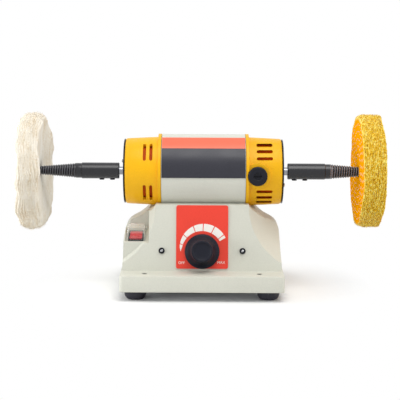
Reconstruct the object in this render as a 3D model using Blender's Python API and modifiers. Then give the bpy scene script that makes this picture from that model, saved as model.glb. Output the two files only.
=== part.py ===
"""Bench buffer: a speed-controlled motor on a cast base, with a polishing wheel on each end of its shaft.

Metres, +Z up. The origin lies under the middle of the base, on the surface that the feet stand on.
+X runs along the motor shaft to the right, and the front panel with the knob faces -Y.
"""

import math

import bmesh
import bpy
from mathutils import Matrix, Vector

# Clearances shared by all the pieces
SEAT_GAP = 0.0003  # between two pieces that touch
RUN_GAP = 0.0007  # between a turning piece and a fixed one
OVERRUN = 0.0020  # how far a cutter reaches past what it cuts

# Flange of the base
FLANGE_HALF_WIDTH = 0.0792
FLANGE_HALF_DEPTH = 0.0720
FLANGE_BOTTOM = 0.0097
FLANGE_TOP = 0.0254
FLANGE_CORNER = 0.0030
FLANGE_EDGE = 0.0010
PEDESTAL_LEDGE = 0.0014
CAST_WALL = 0.0030
BENCH_HOLE_X = 0.0553
BENCH_HOLE_Y = 0.0595
BENCH_HOLE_RADIUS = 0.0028

# Pedestal: two sloping panels, drawn in at the corners by scoops, under a saddle for the motor
PANEL_FOOT_Y = 0.0475
PANEL_TILT = math.radians(11.8)
SADDLE_TOP = 0.0886
NECK_HALF_WIDTH = 0.0454
SHOULDER_WIDTH_shares = (0.02, 0.11, 0.21, 0.36, 0.50, 0.67, 0.79, 0.86, 0.91, 0.925)
SHOULDER_DROP_shares = (0.03, 0.09, 0.13, 0.20, 0.25, 0.285, 0.32, 0.365, 0.43, 0.50)
SCOOP_RADIUS = 0.0653
SCOOP_CENTRE_X = 0.1105
SCOOP_CENTRE_UP = 0.0639
SCOOP_SPLAY = math.radians(40.0)
SCOOP_LENGTH = 0.0720
SCOOP_LEAD = 0.0100
SCOOP_STEPS = 40

# Switch pod in the front left shoulder
POD_CENTRE_X = -0.0650
POD_WIDTH = 0.0258
POD_FRONT_Y = 0.0400
POD_LIP_HEIGHT = 0.0523
POD_TILT = math.radians(19.0)
POD_LENGTH = 0.0290
POD_WALL = 0.0024
POCKET_WIDTH = 0.0204
POCKET_LENGTH = 0.0254
POCKET_DEPTH = 0.0020
POD_BACK_DRAFT = math.radians(8.0)
SWITCH_UP = 0.0134  # from the pod's front lip to the middle of the switch

# Rocker switch and its clear cover
BEZEL_WIDTH = 0.0150
BEZEL_LENGTH = 0.0196
BEZEL_HEIGHT = 0.0020
SWITCH_BODY_WIDTH = 0.0128
SWITCH_BODY_LENGTH = 0.0178
SWITCH_BODY_DEPTH = 0.0125
SWITCH_WALL = 0.0009
ROCKER_WIDTH = 0.0104
ROCKER_LENGTH = 0.0152
ROCKER_THICKNESS = 0.0040
ROCKER_PIVOT_DEPTH = 0.0016
ROCKER_TIP = math.radians(9.0)
COVER_WALL = 0.0006
COVER_HEIGHT = 0.0096
COVER_TAPER = 0.0010

# Feet, bottom plate and their screws
FOOT_X = 0.0645
FOOT_Y = 0.0550
FOOT_RADIUS = 0.0108
FOOT_SOLE_RADIUS = 0.0072
FOOT_SCREW_RADIUS = 0.0020
FOOT_SCREW_HEAD_RADIUS = 0.0034
FOOT_SCREW_HEAD_HEIGHT = 0.0022
FOOT_SCREW_TOP = 0.0195
FOOT_RECESS_HEIGHT = 0.0040
BOTTOM_PLATE_THICKNESS = 0.0012
BOSS_RADIUS = 0.0045

# Front panel: dial plate, screws, potentiometer and knob
DIAL_HALF_WIDTH = 0.0253
DIAL_BOTTOM_UP = 0.0022
DIAL_TOP_UP = 0.0640
DIAL_THICKNESS = 0.0008
DIAL_CORNER = 0.0020
PANEL_SCREW_X = 0.0394
PANEL_SCREW_UP = 0.0196
PANEL_SCREW_RADIUS = 0.0014
PANEL_SCREW_HEAD_RADIUS = 0.0027
PANEL_SCREW_HEAD_HEIGHT = 0.0015
KNOB_UP = 0.0190
KNOB_RADIUS = 0.0169
KNOB_SKIRT_HEIGHT = 0.0034
KNOB_WAIST_RADIUS = 0.0146
KNOB_FACE_RADIUS = 0.0102
KNOB_HEIGHT = 0.0172
KNOB_DISH_RADIUS = 0.0083
KNOB_DISH_DEPTH = 0.0008
KNOB_LIFT = 0.0009  # open gap between the knob and the dial plate
KNOB_RECESS_RADIUS = 0.0090
POT_BODY_RADIUS = 0.0120
POT_BODY_DEPTH = 0.0090
POT_BUSH_RADIUS = 0.0045
POT_NUT_RADIUS = 0.0080
POT_NUT_HEIGHT = 0.0020
POT_BUSH_PROUD = 0.0020
POT_SHAFT_RADIUS = 0.0030
POT_SHAFT_REACH = 0.0140

# Control board behind the front panel
BOARD_HALF_WIDTH = 0.0440
BOARD_BOTTOM_UP = 0.0070
BOARD_TOP_UP = 0.0330
BOARD_THICKNESS = 0.0016
STANDOFF_RADIUS = 0.0032
CHOKE_SIZE = (0.0180, 0.0150, 0.0140)
CHOKE_X = -0.0250
HEAT_SINK_SIZE = (0.0220, 0.0180, 0.0100)
HEAT_SINK_X = 0.0240
CAPACITOR_RADIUS = 0.0065
CAPACITOR_LENGTH = 0.0160

# Cord gland in the rear panel
GLAND_X = 0.0420
GLAND_UP = 0.0150
GLAND_NECK_RADIUS = 0.0062
GLAND_BORE_RADIUS = 0.0036
GLAND_FLANGE_RADIUS = 0.0088
GLAND_OUTER_LENGTH = 0.0040
GLAND_INNER_LENGTH = 0.0024

# Motor casing, turned about the shaft
MOTOR_X = 0.00095  # the motor sits this far right of the base's middle
AXIS_HEIGHT = 0.1170
TUBE_RADIUS = 0.0370
TUBE_WALL = 0.0025
TUBE_HALF_LENGTH = 0.0412
MOTOR_BOLT_X = 0.0330
MOTOR_BOLT_RADIUS = 0.0025
MOTOR_BOLT_HEAD_RADIUS = 0.0042
MOTOR_BOLT_HEAD_HEIGHT = 0.0035
MOTOR_BOLT_REACH = 0.0020  # past the inside of the tube
NAMEPLATE_HALF_WIDTH = 0.0408
NAMEPLATE_LOW = math.radians(-2.6)
NAMEPLATE_HIGH = math.radians(68.8)
NAMEPLATE_THICKNESS = 0.0003
MAGNET_THICKNESS = 0.0062
MAGNET_HALF_LENGTH = 0.0250
MAGNET_HALF_ANGLE = math.radians(64.0)

# End caps
CAP_RIM_RADIUS = 0.03725
CAP_RIM_WIDTH = 0.0031
CAP_BODY_RADIUS = 0.0341
CAP_END_RADIUS = 0.0326
CAP_END = 0.0772  # from the motor's middle to the cap's end face
CAP_END_CORNER = 0.0020
CAP_WALL = 0.0030
CAP_END_WALL = 0.0050
SPIGOT_LENGTH = 0.0050
END_PLATE_THICKNESS = 0.0010
END_PLATE_INSET = 0.0006
PLATE_SCREW_CIRCLE = 0.0170
PLATE_SCREW_RADIUS = 0.0015
PLATE_SCREW_HEAD_RADIUS = 0.0026
PLATE_SCREW_HEAD_HEIGHT = 0.0018
PLATE_SCREW_DEPTH = 0.0038
LEFT_CAP_TURN = math.radians(4.0)
ARC_VENT_WIDTH = 0.0030
ARC_VENT_PLACES = (0.0514, 0.0577)
ARC_VENT_START = math.radians(21.0)
ARC_VENT_END = math.radians(56.0)
SLOT_VENT_LENGTH = 0.0160
SLOT_VENT_WIDTH = 0.0029
SLOT_VENT_PLACE = 0.0598
SLOT_VENT_ANGLES = tuple(math.radians(angle) for angle in (29.0, 42.5, 57.0))

# Ball bearings
BEARING_RADIUS = 0.0110
BEARING_WIDTH = 0.0070
BEARING_OUTER_WALL = 0.0020
BEARING_SHIELD = 0.0005
BEARING_INNER_WALL = 0.0016
BEARING_BOSS_WALL = 0.0035
BEARING_LIP = 0.0030

# Brushes: one at the front and one at the rear of the right end cap
BRUSH_X = 0.0528
BRUSH_BOSS_RADIUS = 0.0126
BRUSH_BOSS_FACE = 0.0346  # from the shaft's axis
BRUSH_POST_RADIUS = 0.0094
BRUSH_POST_END = 0.0190
HOLDER_RADIUS = 0.0065
HOLDER_END = 0.0124
HOLDER_BORE_RADIUS = 0.0054
BRUSH_WIDTH = 0.0064
BRUSH_HEIGHT = 0.0078
BRUSH_LENGTH = 0.0120
BRUSH_CAP_RADIUS = 0.0094
BRUSH_CAP_HEIGHT = 0.0036
BRUSH_CAP_SOCKET = 0.0034
BRUSH_CAP_SOCKET_DEPTH = 0.0014
BRUSH_CAP_SLOT_WIDTH = 0.0016
BRUSH_CAP_STEM = 0.0034
SPRING_WIRE_RADIUS = 0.0003
SPRING_RADIUS = 0.0024
SPRING_TURNS = 6
SPRING_POINTS_PER_TURN = 8

# Rotor
SHAFT_CORE_RADIUS = 0.0050
SHAFT_END_RADIUS = 0.0040
SHAFT_HALF_LENGTH = 0.1120
CORE_RADIUS = 0.0270
CORE_HALF_LENGTH = 0.0220
CORE_SLOTS = 12
SLOT_FLOOR_RADIUS = 0.0150
SLOT_HALF_WIDTH = 0.0023
SLOT_MOUTH_HALF_WIDTH = 0.0012
SLOT_LIP = 0.0012
WINDING_RADIUS = 0.0260
WINDING_LEFT_END = 0.0360
WINDING_RIGHT_END = 0.0385
COMMUTATOR_RADIUS = 0.0105
COMMUTATOR_RISER_RADIUS = 0.0125
COMMUTATOR_RISER = 0.0040
COMMUTATOR_START = 0.0390
COMMUTATOR_END = 0.0605
FAN_RADIUS = 0.0275
FAN_HUB_RADIUS = 0.0095
FAN_START = 0.0480
FAN_LENGTH = 0.0120
FAN_DISC = 0.0016
FAN_BLADE_HALF = 0.0009
FAN_BLADES = 9

# Tapered spindles
SPINDLE_START = 0.0840
SPINDLE_RADIUS = 0.0080
SPINDLE_BODY_END = 0.1210
SPINDLE_CHAMFER = 0.0005
SPINDLE_RELIEF_DEPTH = 0.0006
SPINDLE_THREAD_START = 0.1268
SPINDLE_END = 0.1720
SPINDLE_TIP_RADIUS = 0.0036
THREAD_PITCH = 0.0024
THREAD_DEPTH = 0.0007
SET_SCREW_PLACES = (0.0910, 0.1015)
SET_SCREW_RADIUS = 0.0025
SET_SCREW_PROUD = 0.0010

# Wheels
WHITE_RADIUS = 0.0580
WHITE_INNER_FACE = 0.1608
WHITE_OUTER_FACE = 0.1762
WHITE_BULGE = 0.0018
WHITE_BULGE_shares = ((0.60, 0.0), (0.80, 0.5), (0.90, 1.0), (0.955, 0.5))
YELLOW_RADIUS = 0.0548
YELLOW_INNER_FACE = 0.1554
YELLOW_OUTER_FACE = 0.1744
YELLOW_EDGE = 0.0016
HUB_DISC_RADIUS = 0.0160
HUB_DISC_STEP = 0.0008

# How finely round pieces are divided
BIG_STEPS = 30
MID_STEPS = 20
SMALL_STEPS = 12
SCREW_STEPS = 8
MERGE_DISTANCE = 0.00001

# Colours as red, green and blue from 0 to 255, then roughness and metallic
FINISHES = {
    "cream_paint": ((211, 212, 198), 0.45, 0.0),
    "grey_paint": ((196, 195, 183), 0.40, 0.0),
    "yellow_paint": ((233, 180, 20), 0.38, 0.0),
    "dial_red": ((229, 83, 66), 0.45, 0.0),
    "label_foil": ((70, 69, 75), 0.40, 0.0),
    "black_plastic": ((38, 38, 48), 0.45, 0.0),
    "black_rubber": ((46, 45, 52), 0.75, 0.0),
    "red_plastic": ((205, 45, 60), 0.30, 0.0),
    "clear_plastic": ((214, 218, 216), 0.12, 0.0),
    "board_green": ((30, 96, 62), 0.50, 0.0),
    "zinc_steel": ((186, 188, 190), 0.32, 1.0),
    "bright_steel": ((150, 152, 156), 0.25, 1.0),
    "black_steel": ((44, 45, 54), 0.38, 0.8),
    "ferrite": ((58, 56, 56), 0.65, 0.0),
    "copper": ((184, 106, 60), 0.35, 1.0),
    "brass": ((186, 150, 84), 0.35, 1.0),
    "carbon": ((42, 42, 44), 0.60, 0.2),
    "white_cotton": ((226, 216, 199), 0.95, 0.0),
    "yellow_cotton": ((222, 176, 62), 0.92, 0.0),
}

OBJECT_NAME = "bench_buffer"


# Making and combining shapes


def clear_scene():
    for item in list(bpy.data.objects):
        bpy.data.objects.remove(item, do_unlink=True)
    for group in list(bpy.data.collections):
        bpy.data.collections.remove(group)


def add_collection(name):
    group = bpy.data.collections.new(name)
    bpy.context.scene.collection.children.link(group)
    return group


clear_scene()
PARTS = add_collection(OBJECT_NAME)
CUTTERS = add_collection("cutters")


def linear(channel):
    share = channel / 255
    return share / 12.92 if share <= 0.04045 else ((share + 0.055) / 1.055) ** 2.4


def make_finish(name):
    colour, roughness, metallic = FINISHES[name]
    finish = bpy.data.materials.new(name)
    finish.use_nodes = True
    shader = finish.node_tree.nodes["Principled BSDF"]
    shader.inputs["Base Color"].default_value = (*[linear(channel) for channel in colour], 1)
    shader.inputs["Roughness"].default_value = roughness
    shader.inputs["Metallic"].default_value = metallic
    return finish


FINISH_MATERIALS = {name: make_finish(name) for name in FINISHES}


def new_object(name, data):
    made = bpy.data.objects.new(name, data)
    bpy.context.scene.collection.objects.link(made)
    return made


def from_bmesh(name, shape):
    mesh = bpy.data.meshes.new(name)
    shape.to_mesh(mesh)
    shape.free()
    return new_object(name, mesh)


def box(name, size):
    shape = bmesh.new()
    bmesh.ops.create_cube(shape, size=1, matrix=Matrix.Diagonal((*size, 1)))
    return from_bmesh(name, shape)


def rod(name, radius, start, end, steps=MID_STEPS):
    """A cylinder along its local Z, from start to end."""
    shape = bmesh.new()
    matrix = Matrix.Translation((0, 0, (start + end) / 2)) @ Matrix.Diagonal((radius, radius, end - start, 1))
    bmesh.ops.create_cone(
        shape, cap_ends=True, segments=steps, radius1=1, radius2=1, depth=1, matrix=matrix
    )
    return from_bmesh(name, shape)


def turned(name, profile, steps=MID_STEPS, ring=False):
    """A solid turned about its local Z. The profile's (radius, height) points run down its outer side."""
    shape = bmesh.new()
    points = [shape.verts.new((radius, 0, height)) for radius, height in profile]
    for first, second in zip(points, points[1:]):
        shape.edges.new((first, second))
    if ring:
        shape.edges.new((points[-1], points[0]))
    made = from_bmesh(name, shape)
    screw = made.modifiers.new("turn", "SCREW")
    screw.steps = steps
    screw.render_steps = steps
    screw.use_merge_vertices = True
    screw.merge_threshold = MERGE_DISTANCE
    screw.use_smooth_shade = False
    return made


def as_mesh(curve_object):
    """The same shape as a mesh with its caps welded on, in place of the curve."""
    view = bpy.context.evaluated_depsgraph_get()
    mesh = bpy.data.meshes.new_from_object(curve_object.evaluated_get(view))
    shape = bmesh.new()
    shape.from_mesh(mesh)
    bmesh.ops.remove_doubles(shape, verts=shape.verts, dist=MERGE_DISTANCE)
    shape.to_mesh(mesh)
    shape.free()
    made = new_object(curve_object.name + "_mesh", mesh)
    made.matrix_world = curve_object.matrix_world
    name = curve_object.name
    bpy.data.objects.remove(curve_object, do_unlink=True)
    made.name = name
    return made


def sheet(name, outlines, thickness):
    """A flat piece in its local XY plane, its thickness centred on it. Later outlines are holes."""
    curve = bpy.data.curves.new(name, "CURVE")
    curve.dimensions = "2D"
    curve.fill_mode = "BOTH"
    curve.extrude = thickness / 2
    for outline in outlines:
        spline = curve.splines.new("POLY")
        spline.points.add(len(outline) - 1)
        for point, (across, up) in zip(spline.points, outline):
            point.co = (across, up, 0, 1)
        spline.use_cyclic_u = True
    return as_mesh(new_object(name, curve))


def arc(centre, radius, start, end, steps):
    """Points on an arc, both ends included."""
    angles = [start + (end - start) * step / steps for step in range(steps + 1)]
    return [(centre[0] + radius * math.cos(a), centre[1] + radius * math.sin(a)) for a in angles]


def circle(centre, radius, steps):
    return arc(centre, radius, 0, 2 * math.pi, steps)[:-1]


def rounded_rectangle(left, bottom, right, top, corner, steps=4):
    quarter = math.pi / 2
    corners = ((right, top), (left, top), (left, bottom), (right, bottom))
    inward = ((-1, -1), (1, -1), (1, 1), (-1, 1))
    points = []
    for index, ((x, y), (dx, dy)) in enumerate(zip(corners, inward)):
        centre = (x + dx * corner, y + dy * corner)
        points += arc(centre, corner, index * quarter, (index + 1) * quarter, steps)
    return points


def inset_outline(points, distance):
    """The closed outline, which runs anticlockwise, moved inwards by a distance."""
    moved = []
    for index, point in enumerate(points):
        here = Vector(point)
        before = (here - Vector(points[index - 1])).normalized()
        after = (Vector(points[(index + 1) % len(points)]) - here).normalized()
        normal = Vector((-before.y, before.x)) + Vector((-after.y, after.x))
        moved.append(tuple(here + normal * (2 * distance / normal.length_squared)))
    return moved


def bevel_edges(made, chosen, width, segments):
    """Rounds the mesh's square edges for which chosen(first, second) is true."""
    shape = bmesh.new()
    shape.from_mesh(made.data)
    square = [edge for edge in shape.edges if edge.calc_face_angle(0) > math.pi / 3]
    edges = [edge for edge in square if chosen(edge.verts[0].co, edge.verts[1].co)]
    bmesh.ops.bevel(shape, geom=edges, offset=width, segments=segments, profile=0.5, affect="EDGES")
    shape.to_mesh(made.data)
    shape.free()


def combine(target, other, operation):
    """Keeps the other object as a hidden cutter, in its own collection."""
    step = target.modifiers.new(operation.lower(), "BOOLEAN")
    step.operation = operation
    step.solver = "EXACT"
    step.object = other
    for group in other.users_collection:
        group.objects.unlink(other)
    CUTTERS.objects.link(other)
    other.hide_render = True
    other.display_type = "WIRE"


def cut(target, *others):
    for other in others:
        combine(target, other, "DIFFERENCE")


def join(target, *others):
    for other in others:
        combine(target, other, "UNION")


def put(made, matrix):
    made.matrix_world = matrix
    return made


def keep(made, finish, parent=None):
    """Files a finished piece under the object, with its material."""
    made.data.materials.clear()
    made.data.materials.append(FINISH_MATERIALS[finish])
    made.data.shade_smooth()
    made.data.set_sharp_from_angle(angle=math.radians(35))
    for group in made.users_collection:
        group.objects.unlink(made)
    PARTS.objects.link(made)
    if parent:
        made.parent = parent
        made.matrix_parent_inverse = parent.matrix_world.inverted()
    return made


def pivot(name, matrix):
    """An empty on a joint's axis, which carries the pieces that move about it."""
    empty = new_object(name, None)
    empty.matrix_world = matrix
    empty.empty_display_size = FOOT_RADIUS
    CUTTERS.objects.link(empty)
    bpy.context.scene.collection.objects.unlink(empty)
    return empty


# Frames of the sloping faces, each with X across, Y up the face and Z out of it


def face_matrix(across, up, origin):
    out = Vector(across).cross(Vector(up))
    matrix = Matrix((across, up, out)).transposed().to_4x4()
    matrix.translation = origin
    return matrix


def panel_matrix(face):
    """The front panel for face -1 and the rear panel for face 1, from the middle of its foot."""
    up = (0, -face * math.sin(PANEL_TILT), math.cos(PANEL_TILT))
    return face_matrix((-face, 0, 0), up, (0, face * PANEL_FOOT_Y, FLANGE_TOP))


def pod_matrix():
    """The pod's sloping top, from the middle of its front lip."""
    up = (0, math.cos(POD_TILT), math.sin(POD_TILT))
    return face_matrix((1, 0, 0), up, (POD_CENTRE_X, -POD_FRONT_Y, POD_LIP_HEIGHT))


def at(matrix, across=0.0, up=0.0, out=0.0):
    return matrix @ Matrix.Translation((across, up, out))


def half_depth(height):
    return PANEL_FOOT_Y - (height - FLANGE_TOP) * math.tan(PANEL_TILT)


FRONT = panel_matrix(-1)
REAR = panel_matrix(1)
POD = pod_matrix()
POCKET = at(POD, up=POD_LENGTH / 2, out=-POCKET_DEPTH)
SWITCH = at(POD, up=SWITCH_UP, out=-POCKET_DEPTH)
KNOB = at(FRONT, up=KNOB_UP)
SHAFT_AXIS = Matrix.Translation((MOTOR_X, 0, AXIS_HEIGHT))
SIDE_VIEW = face_matrix((0, 1, 0), (0, 0, 1), (0, 0, 0))


def along_shaft(side):
    """Local Z runs from the motor's middle out to the right for side 1, and to the left for side -1."""
    return SHAFT_AXIS @ Matrix.Rotation(side * math.pi / 2, 4, "Y")


def across_shaft(face, place):
    """Local Z runs out of the motor to the front for face -1 and to the rear for face 1."""
    return SHAFT_AXIS @ Matrix.Translation((place, 0, 0)) @ Matrix.Rotation(-face * math.pi / 2, 4, "X")


# Base housing


def pedestal_outline(bottom):
    """The pedestal seen from the front, as a closed outline that runs anticlockwise."""
    foot = FLANGE_HALF_WIDTH - PEDESTAL_LEDGE
    spread = FLANGE_HALF_WIDTH - NECK_HALF_WIDTH
    drop = SADDLE_TOP - FLANGE_TOP
    right = [(NECK_HALF_WIDTH, SADDLE_TOP)]
    for width_share, drop_share in zip(SHOULDER_WIDTH_shares, SHOULDER_DROP_shares):
        right.append((NECK_HALF_WIDTH + width_share * spread, SADDLE_TOP - drop_share * drop))
    right += [(foot, FLANGE_TOP), (foot, bottom)]
    return right[::-1] + [(-across, height) for across, height in right]


def pedestal_block(name, outline, inset):
    """The outline as a block whose front and rear faces slope like the panels."""
    block = sheet(name, [outline], 2 * PANEL_FOOT_Y)
    for vertex in block.data.vertices:
        across, height, side = vertex.co
        depth = half_depth(height) - inset / math.cos(PANEL_TILT)
        vertex.co = (across, -math.copysign(depth, side), height)
    return block


def scoop(name, face, side, inset):
    """A slanting round cutter that draws one corner of the pedestal in towards the neck."""
    panel = panel_matrix(face)
    start = panel @ Vector((side * SCOOP_CENTRE_X, SCOOP_CENTRE_UP, 0))
    outward = math.copysign(1, start.x)
    heading = Vector((outward * math.sin(SCOOP_SPLAY), -face * math.cos(SCOOP_SPLAY), 0))
    middle = start + heading * (SCOOP_LENGTH / 2 - SCOOP_LEAD)
    radius = SCOOP_RADIUS + inset
    matrix = Matrix((panel.col[0].xyz * radius, panel.col[1].xyz * radius, -heading * SCOOP_LENGTH))
    matrix = matrix.transposed().to_4x4()
    matrix.translation = middle
    shape = bmesh.new()
    bmesh.ops.create_cone(
        shape, cap_ends=True, segments=SCOOP_STEPS, radius1=1, radius2=1, depth=1, matrix=matrix
    )
    return from_bmesh(name, shape)


def pod_keeper(name, inset, lowered):
    """What the front left scoop leaves standing: the pod under its sloping top."""
    low_front = (-POD_FRONT_Y + inset, FLANGE_BOTTOM)
    low_rear = (SCOOP_LENGTH / 2, FLANGE_BOTTOM)
    lip = POD @ Vector((0, 0, -lowered))
    back = POD @ Vector((0, POD_LENGTH, -lowered))
    lip_height = lip.z + (-POD_FRONT_Y + inset - lip.y) * math.tan(POD_TILT)
    outline = [low_front, low_rear, (low_rear[0], back.z), (back.y, back.z), (low_front[0], lip_height)]
    right = POD_CENTRE_X + POD_WIDTH / 2 - inset
    left = -SCOOP_CENTRE_X
    keeper = sheet(name, [outline], right - left)
    return put(keeper, Matrix.Translation(((left + right) / 2, 0, 0)) @ SIDE_VIEW)


def pod_room(name, margin, lowered):
    """The open space over the pod, back to an upright wall, cut out of the scoop's slanting side."""
    lip = POD @ Vector((0, 0, -lowered))
    back = POD @ Vector((0, POD_LENGTH, -lowered))
    front = -PANEL_FOOT_Y - OVERRUN
    low = lip.z + (front - lip.y) * math.tan(POD_TILT)
    rear = back.y + margin
    lean = (SADDLE_TOP - back.z) * math.tan(POD_BACK_DRAFT)
    outline = [(front, low), (back.y, back.z), (rear, back.z), (rear + lean, SADDLE_TOP), (front, SADDLE_TOP)]
    right = POD_CENTRE_X + POD_WIDTH / 2 + margin
    left = -SCOOP_CENTRE_X
    room = sheet(name, [outline], right - left)
    return put(room, Matrix.Translation(((left + right) / 2, 0, 0)) @ SIDE_VIEW)


def scooped_pedestal(name, bottom, inset, pod_inset, pod_lowered):
    outline = pedestal_outline(bottom)
    if inset:
        outline = inset_outline(outline, inset)
    block = pedestal_block(name, outline, inset)
    for face in (-1, 1):
        for side in (-1, 1):
            scooping = scoop(f"{name}_scoop", face, side, inset)
            if face == -1 and side == -1:
                cut(scooping, pod_keeper(f"{name}_pod", pod_inset, pod_lowered))
            cut(block, scooping)
    cut(block, pod_room(f"{name}_pod_room", inset, pod_lowered))
    return block


def saddle_cutter(name, tube_radius, rim_radius):
    """The motor's own shape, along X, that the saddle is cut to."""
    end = FLANGE_HALF_WIDTH + OVERRUN
    step = TUBE_HALF_LENGTH
    profile = [(0, end), (rim_radius, end), (rim_radius, step), (tube_radius, step)]
    profile += [(radius, -height) for radius, height in reversed(profile)]
    return put(turned(name, profile, BIG_STEPS), along_shaft(1))


def flange_box(name, inset, bottom, top):
    height = top - bottom
    flange = box(name, (2 * (FLANGE_HALF_WIDTH - inset), 2 * (FLANGE_HALF_DEPTH - inset), height))

    def upright(first, second):
        return abs(first.x - second.x) + abs(first.y - second.y) < MERGE_DISTANCE

    bevel_edges(flange, upright, FLANGE_CORNER, 3)
    return put(flange, Matrix.Translation((0, 0, (bottom + top) / 2)))


def corners(across, deep):
    """The four places at these distances from the middle of the base, by name."""
    return {
        "front_left": (-across, -deep),
        "front_right": (across, -deep),
        "rear_left": (-across, deep),
        "rear_right": (across, deep),
    }


def make_housing():
    housing = flange_box("base_housing", 0, FLANGE_BOTTOM, FLANGE_TOP)

    def top_edge(first, second):
        return min(first.z, second.z) > 0

    bevel_edges(housing, top_edge, FLANGE_EDGE, 2)
    join(housing, scooped_pedestal("pedestal", FLANGE_TOP - OVERRUN, 0, 0, 0))

    cavity_bottom = FLANGE_TOP - 3 * CAST_WALL
    under_pocket = POCKET_DEPTH + POD_WALL
    cavity = scooped_pedestal("cavity", cavity_bottom, CAST_WALL, POD_WALL, under_pocket)
    under_saddle = TUBE_RADIUS + SEAT_GAP + CAST_WALL
    cut(cavity, saddle_cutter("saddle_floor", under_saddle, under_saddle + SEAT_GAP))
    ceiling = FLANGE_TOP - CAST_WALL
    cut(housing, cavity, flange_box("flange_hollow", CAST_WALL, FLANGE_BOTTOM - OVERRUN, ceiling))
    rim = CAP_RIM_RADIUS + SEAT_GAP
    cut(housing, saddle_cutter("saddle", TUBE_RADIUS + SEAT_GAP, rim))

    headroom = COVER_HEIGHT
    pocket = box("switch_pocket", (POCKET_WIDTH, POCKET_LENGTH, headroom))
    opening = box(
        "switch_opening", (SWITCH_BODY_WIDTH + 2 * SEAT_GAP, SWITCH_BODY_LENGTH + 2 * SEAT_GAP, headroom)
    )
    cut(housing, put(pocket, at(POCKET, out=headroom / 2)), put(opening, SWITCH))

    through = (-CAST_WALL - OVERRUN, OVERRUN)
    for side in (-1, 1):
        hole = rod("panel_screw_hole", PANEL_SCREW_RADIUS + SEAT_GAP, *through, SCREW_STEPS)
        cut(housing, put(hole, at(FRONT, side * PANEL_SCREW_X, PANEL_SCREW_UP)))
        hole = rod("motor_bolt_hole", MOTOR_BOLT_RADIUS + SEAT_GAP, 0, AXIS_HEIGHT, SCREW_STEPS)
        cut(housing, put(hole, Matrix.Translation((MOTOR_X + side * MOTOR_BOLT_X, 0, 0))))
    hole = rod("potentiometer_hole", POT_BUSH_RADIUS + SEAT_GAP, *through, SMALL_STEPS)
    cut(housing, put(hole, KNOB))
    hole = rod("gland_hole", GLAND_NECK_RADIUS + SEAT_GAP, *through, SMALL_STEPS)
    cut(housing, put(hole, at(REAR, -GLAND_X, GLAND_UP)))

    boss_bottom = plate_top() + SEAT_GAP
    for across, deep in corners(FOOT_X, FOOT_Y).values():
        boss = rod("foot_boss", BOSS_RADIUS, boss_bottom, ceiling + CAST_WALL / 2, SMALL_STEPS)
        join(housing, put(boss, Matrix.Translation((across, deep, 0))))
    for across, deep in corners(FOOT_X, FOOT_Y).values():
        pilot = rod("foot_pilot", FOOT_SCREW_RADIUS + SEAT_GAP, 0, FOOT_SCREW_TOP + RUN_GAP, SCREW_STEPS)
        cut(housing, put(pilot, Matrix.Translation((across, deep, 0))))
    for across, deep in corners(BENCH_HOLE_X, BENCH_HOLE_Y).values():
        hole = rod("bench_hole", BENCH_HOLE_RADIUS, FLANGE_BOTTOM, FLANGE_TOP + OVERRUN, SMALL_STEPS)
        cut(housing, put(hole, Matrix.Translation((across, deep, 0))))
    keep(housing, "cream_paint")


# Bottom plate, feet and foot screws


def plate_bottom():
    return FLANGE_BOTTOM + 2 * SEAT_GAP


def plate_top():
    return plate_bottom() + BOTTOM_PLATE_THICKNESS


def make_bottom_plate():
    across = FLANGE_HALF_WIDTH - CAST_WALL - SEAT_GAP
    deep = FLANGE_HALF_DEPTH - CAST_WALL - SEAT_GAP
    outlines = [rounded_rectangle(-across, -deep, across, deep, FLANGE_CORNER)]
    for place in corners(FOOT_X, FOOT_Y).values():
        outlines.append(circle(place, FOOT_SCREW_RADIUS + SEAT_GAP, SCREW_STEPS))
    for place in corners(BENCH_HOLE_X, BENCH_HOLE_Y).values():
        outlines.append(circle(place, BENCH_HOLE_RADIUS + SEAT_GAP, SMALL_STEPS))
    plate = sheet("bottom_plate", outlines, BOTTOM_PLATE_THICKNESS)
    keep(put(plate, Matrix.Translation((0, 0, (plate_bottom() + plate_top()) / 2))), "zinc_steel")


def make_feet():
    top = plate_bottom() - SEAT_GAP
    recess = FOOT_SCREW_HEAD_RADIUS + SEAT_GAP
    hole = FOOT_SCREW_RADIUS + SEAT_GAP
    curve_height = top * 0.55
    curve_width = FOOT_RADIUS - FOOT_SOLE_RADIUS
    profile = [(hole, top), (FOOT_RADIUS, top)]
    for step in range(4):
        angle = step * math.pi / 6
        across = FOOT_SOLE_RADIUS + curve_width * math.cos(angle)
        profile.append((across, curve_height * (1 - math.sin(angle))))
    profile += [(recess, 0), (recess, FOOT_RECESS_HEIGHT), (hole, FOOT_RECESS_HEIGHT)]
    head_top = FOOT_RECESS_HEIGHT - SEAT_GAP
    head_bottom = head_top - FOOT_SCREW_HEAD_HEIGHT
    screw = [
        (0, FOOT_SCREW_TOP),
        (FOOT_SCREW_RADIUS, FOOT_SCREW_TOP),
        (FOOT_SCREW_RADIUS, head_top),
        (FOOT_SCREW_HEAD_RADIUS, head_top),
        (FOOT_SCREW_HEAD_RADIUS, head_bottom),
        (0, head_bottom),
    ]
    for name, (across, deep) in corners(FOOT_X, FOOT_Y).items():
        here = Matrix.Translation((across, deep, 0))
        keep(put(turned(f"foot_{name}", profile, SMALL_STEPS, ring=True), here), "black_rubber")
        keep(put(turned(f"foot_screw_{name}", screw, SCREW_STEPS), here), "zinc_steel")


# Front panel: dial plate, panel screws, potentiometer, board and knob


def make_dial_plate():
    outline = rounded_rectangle(
        -DIAL_HALF_WIDTH, DIAL_BOTTOM_UP, DIAL_HALF_WIDTH, DIAL_TOP_UP, DIAL_CORNER
    )
    hole = circle((0, KNOB_UP), POT_BUSH_RADIUS + SEAT_GAP, SMALL_STEPS)
    plate = sheet("dial_plate", [outline, hole], DIAL_THICKNESS)
    keep(put(plate, at(FRONT, out=SEAT_GAP + DIAL_THICKNESS / 2)), "dial_red")


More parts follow.
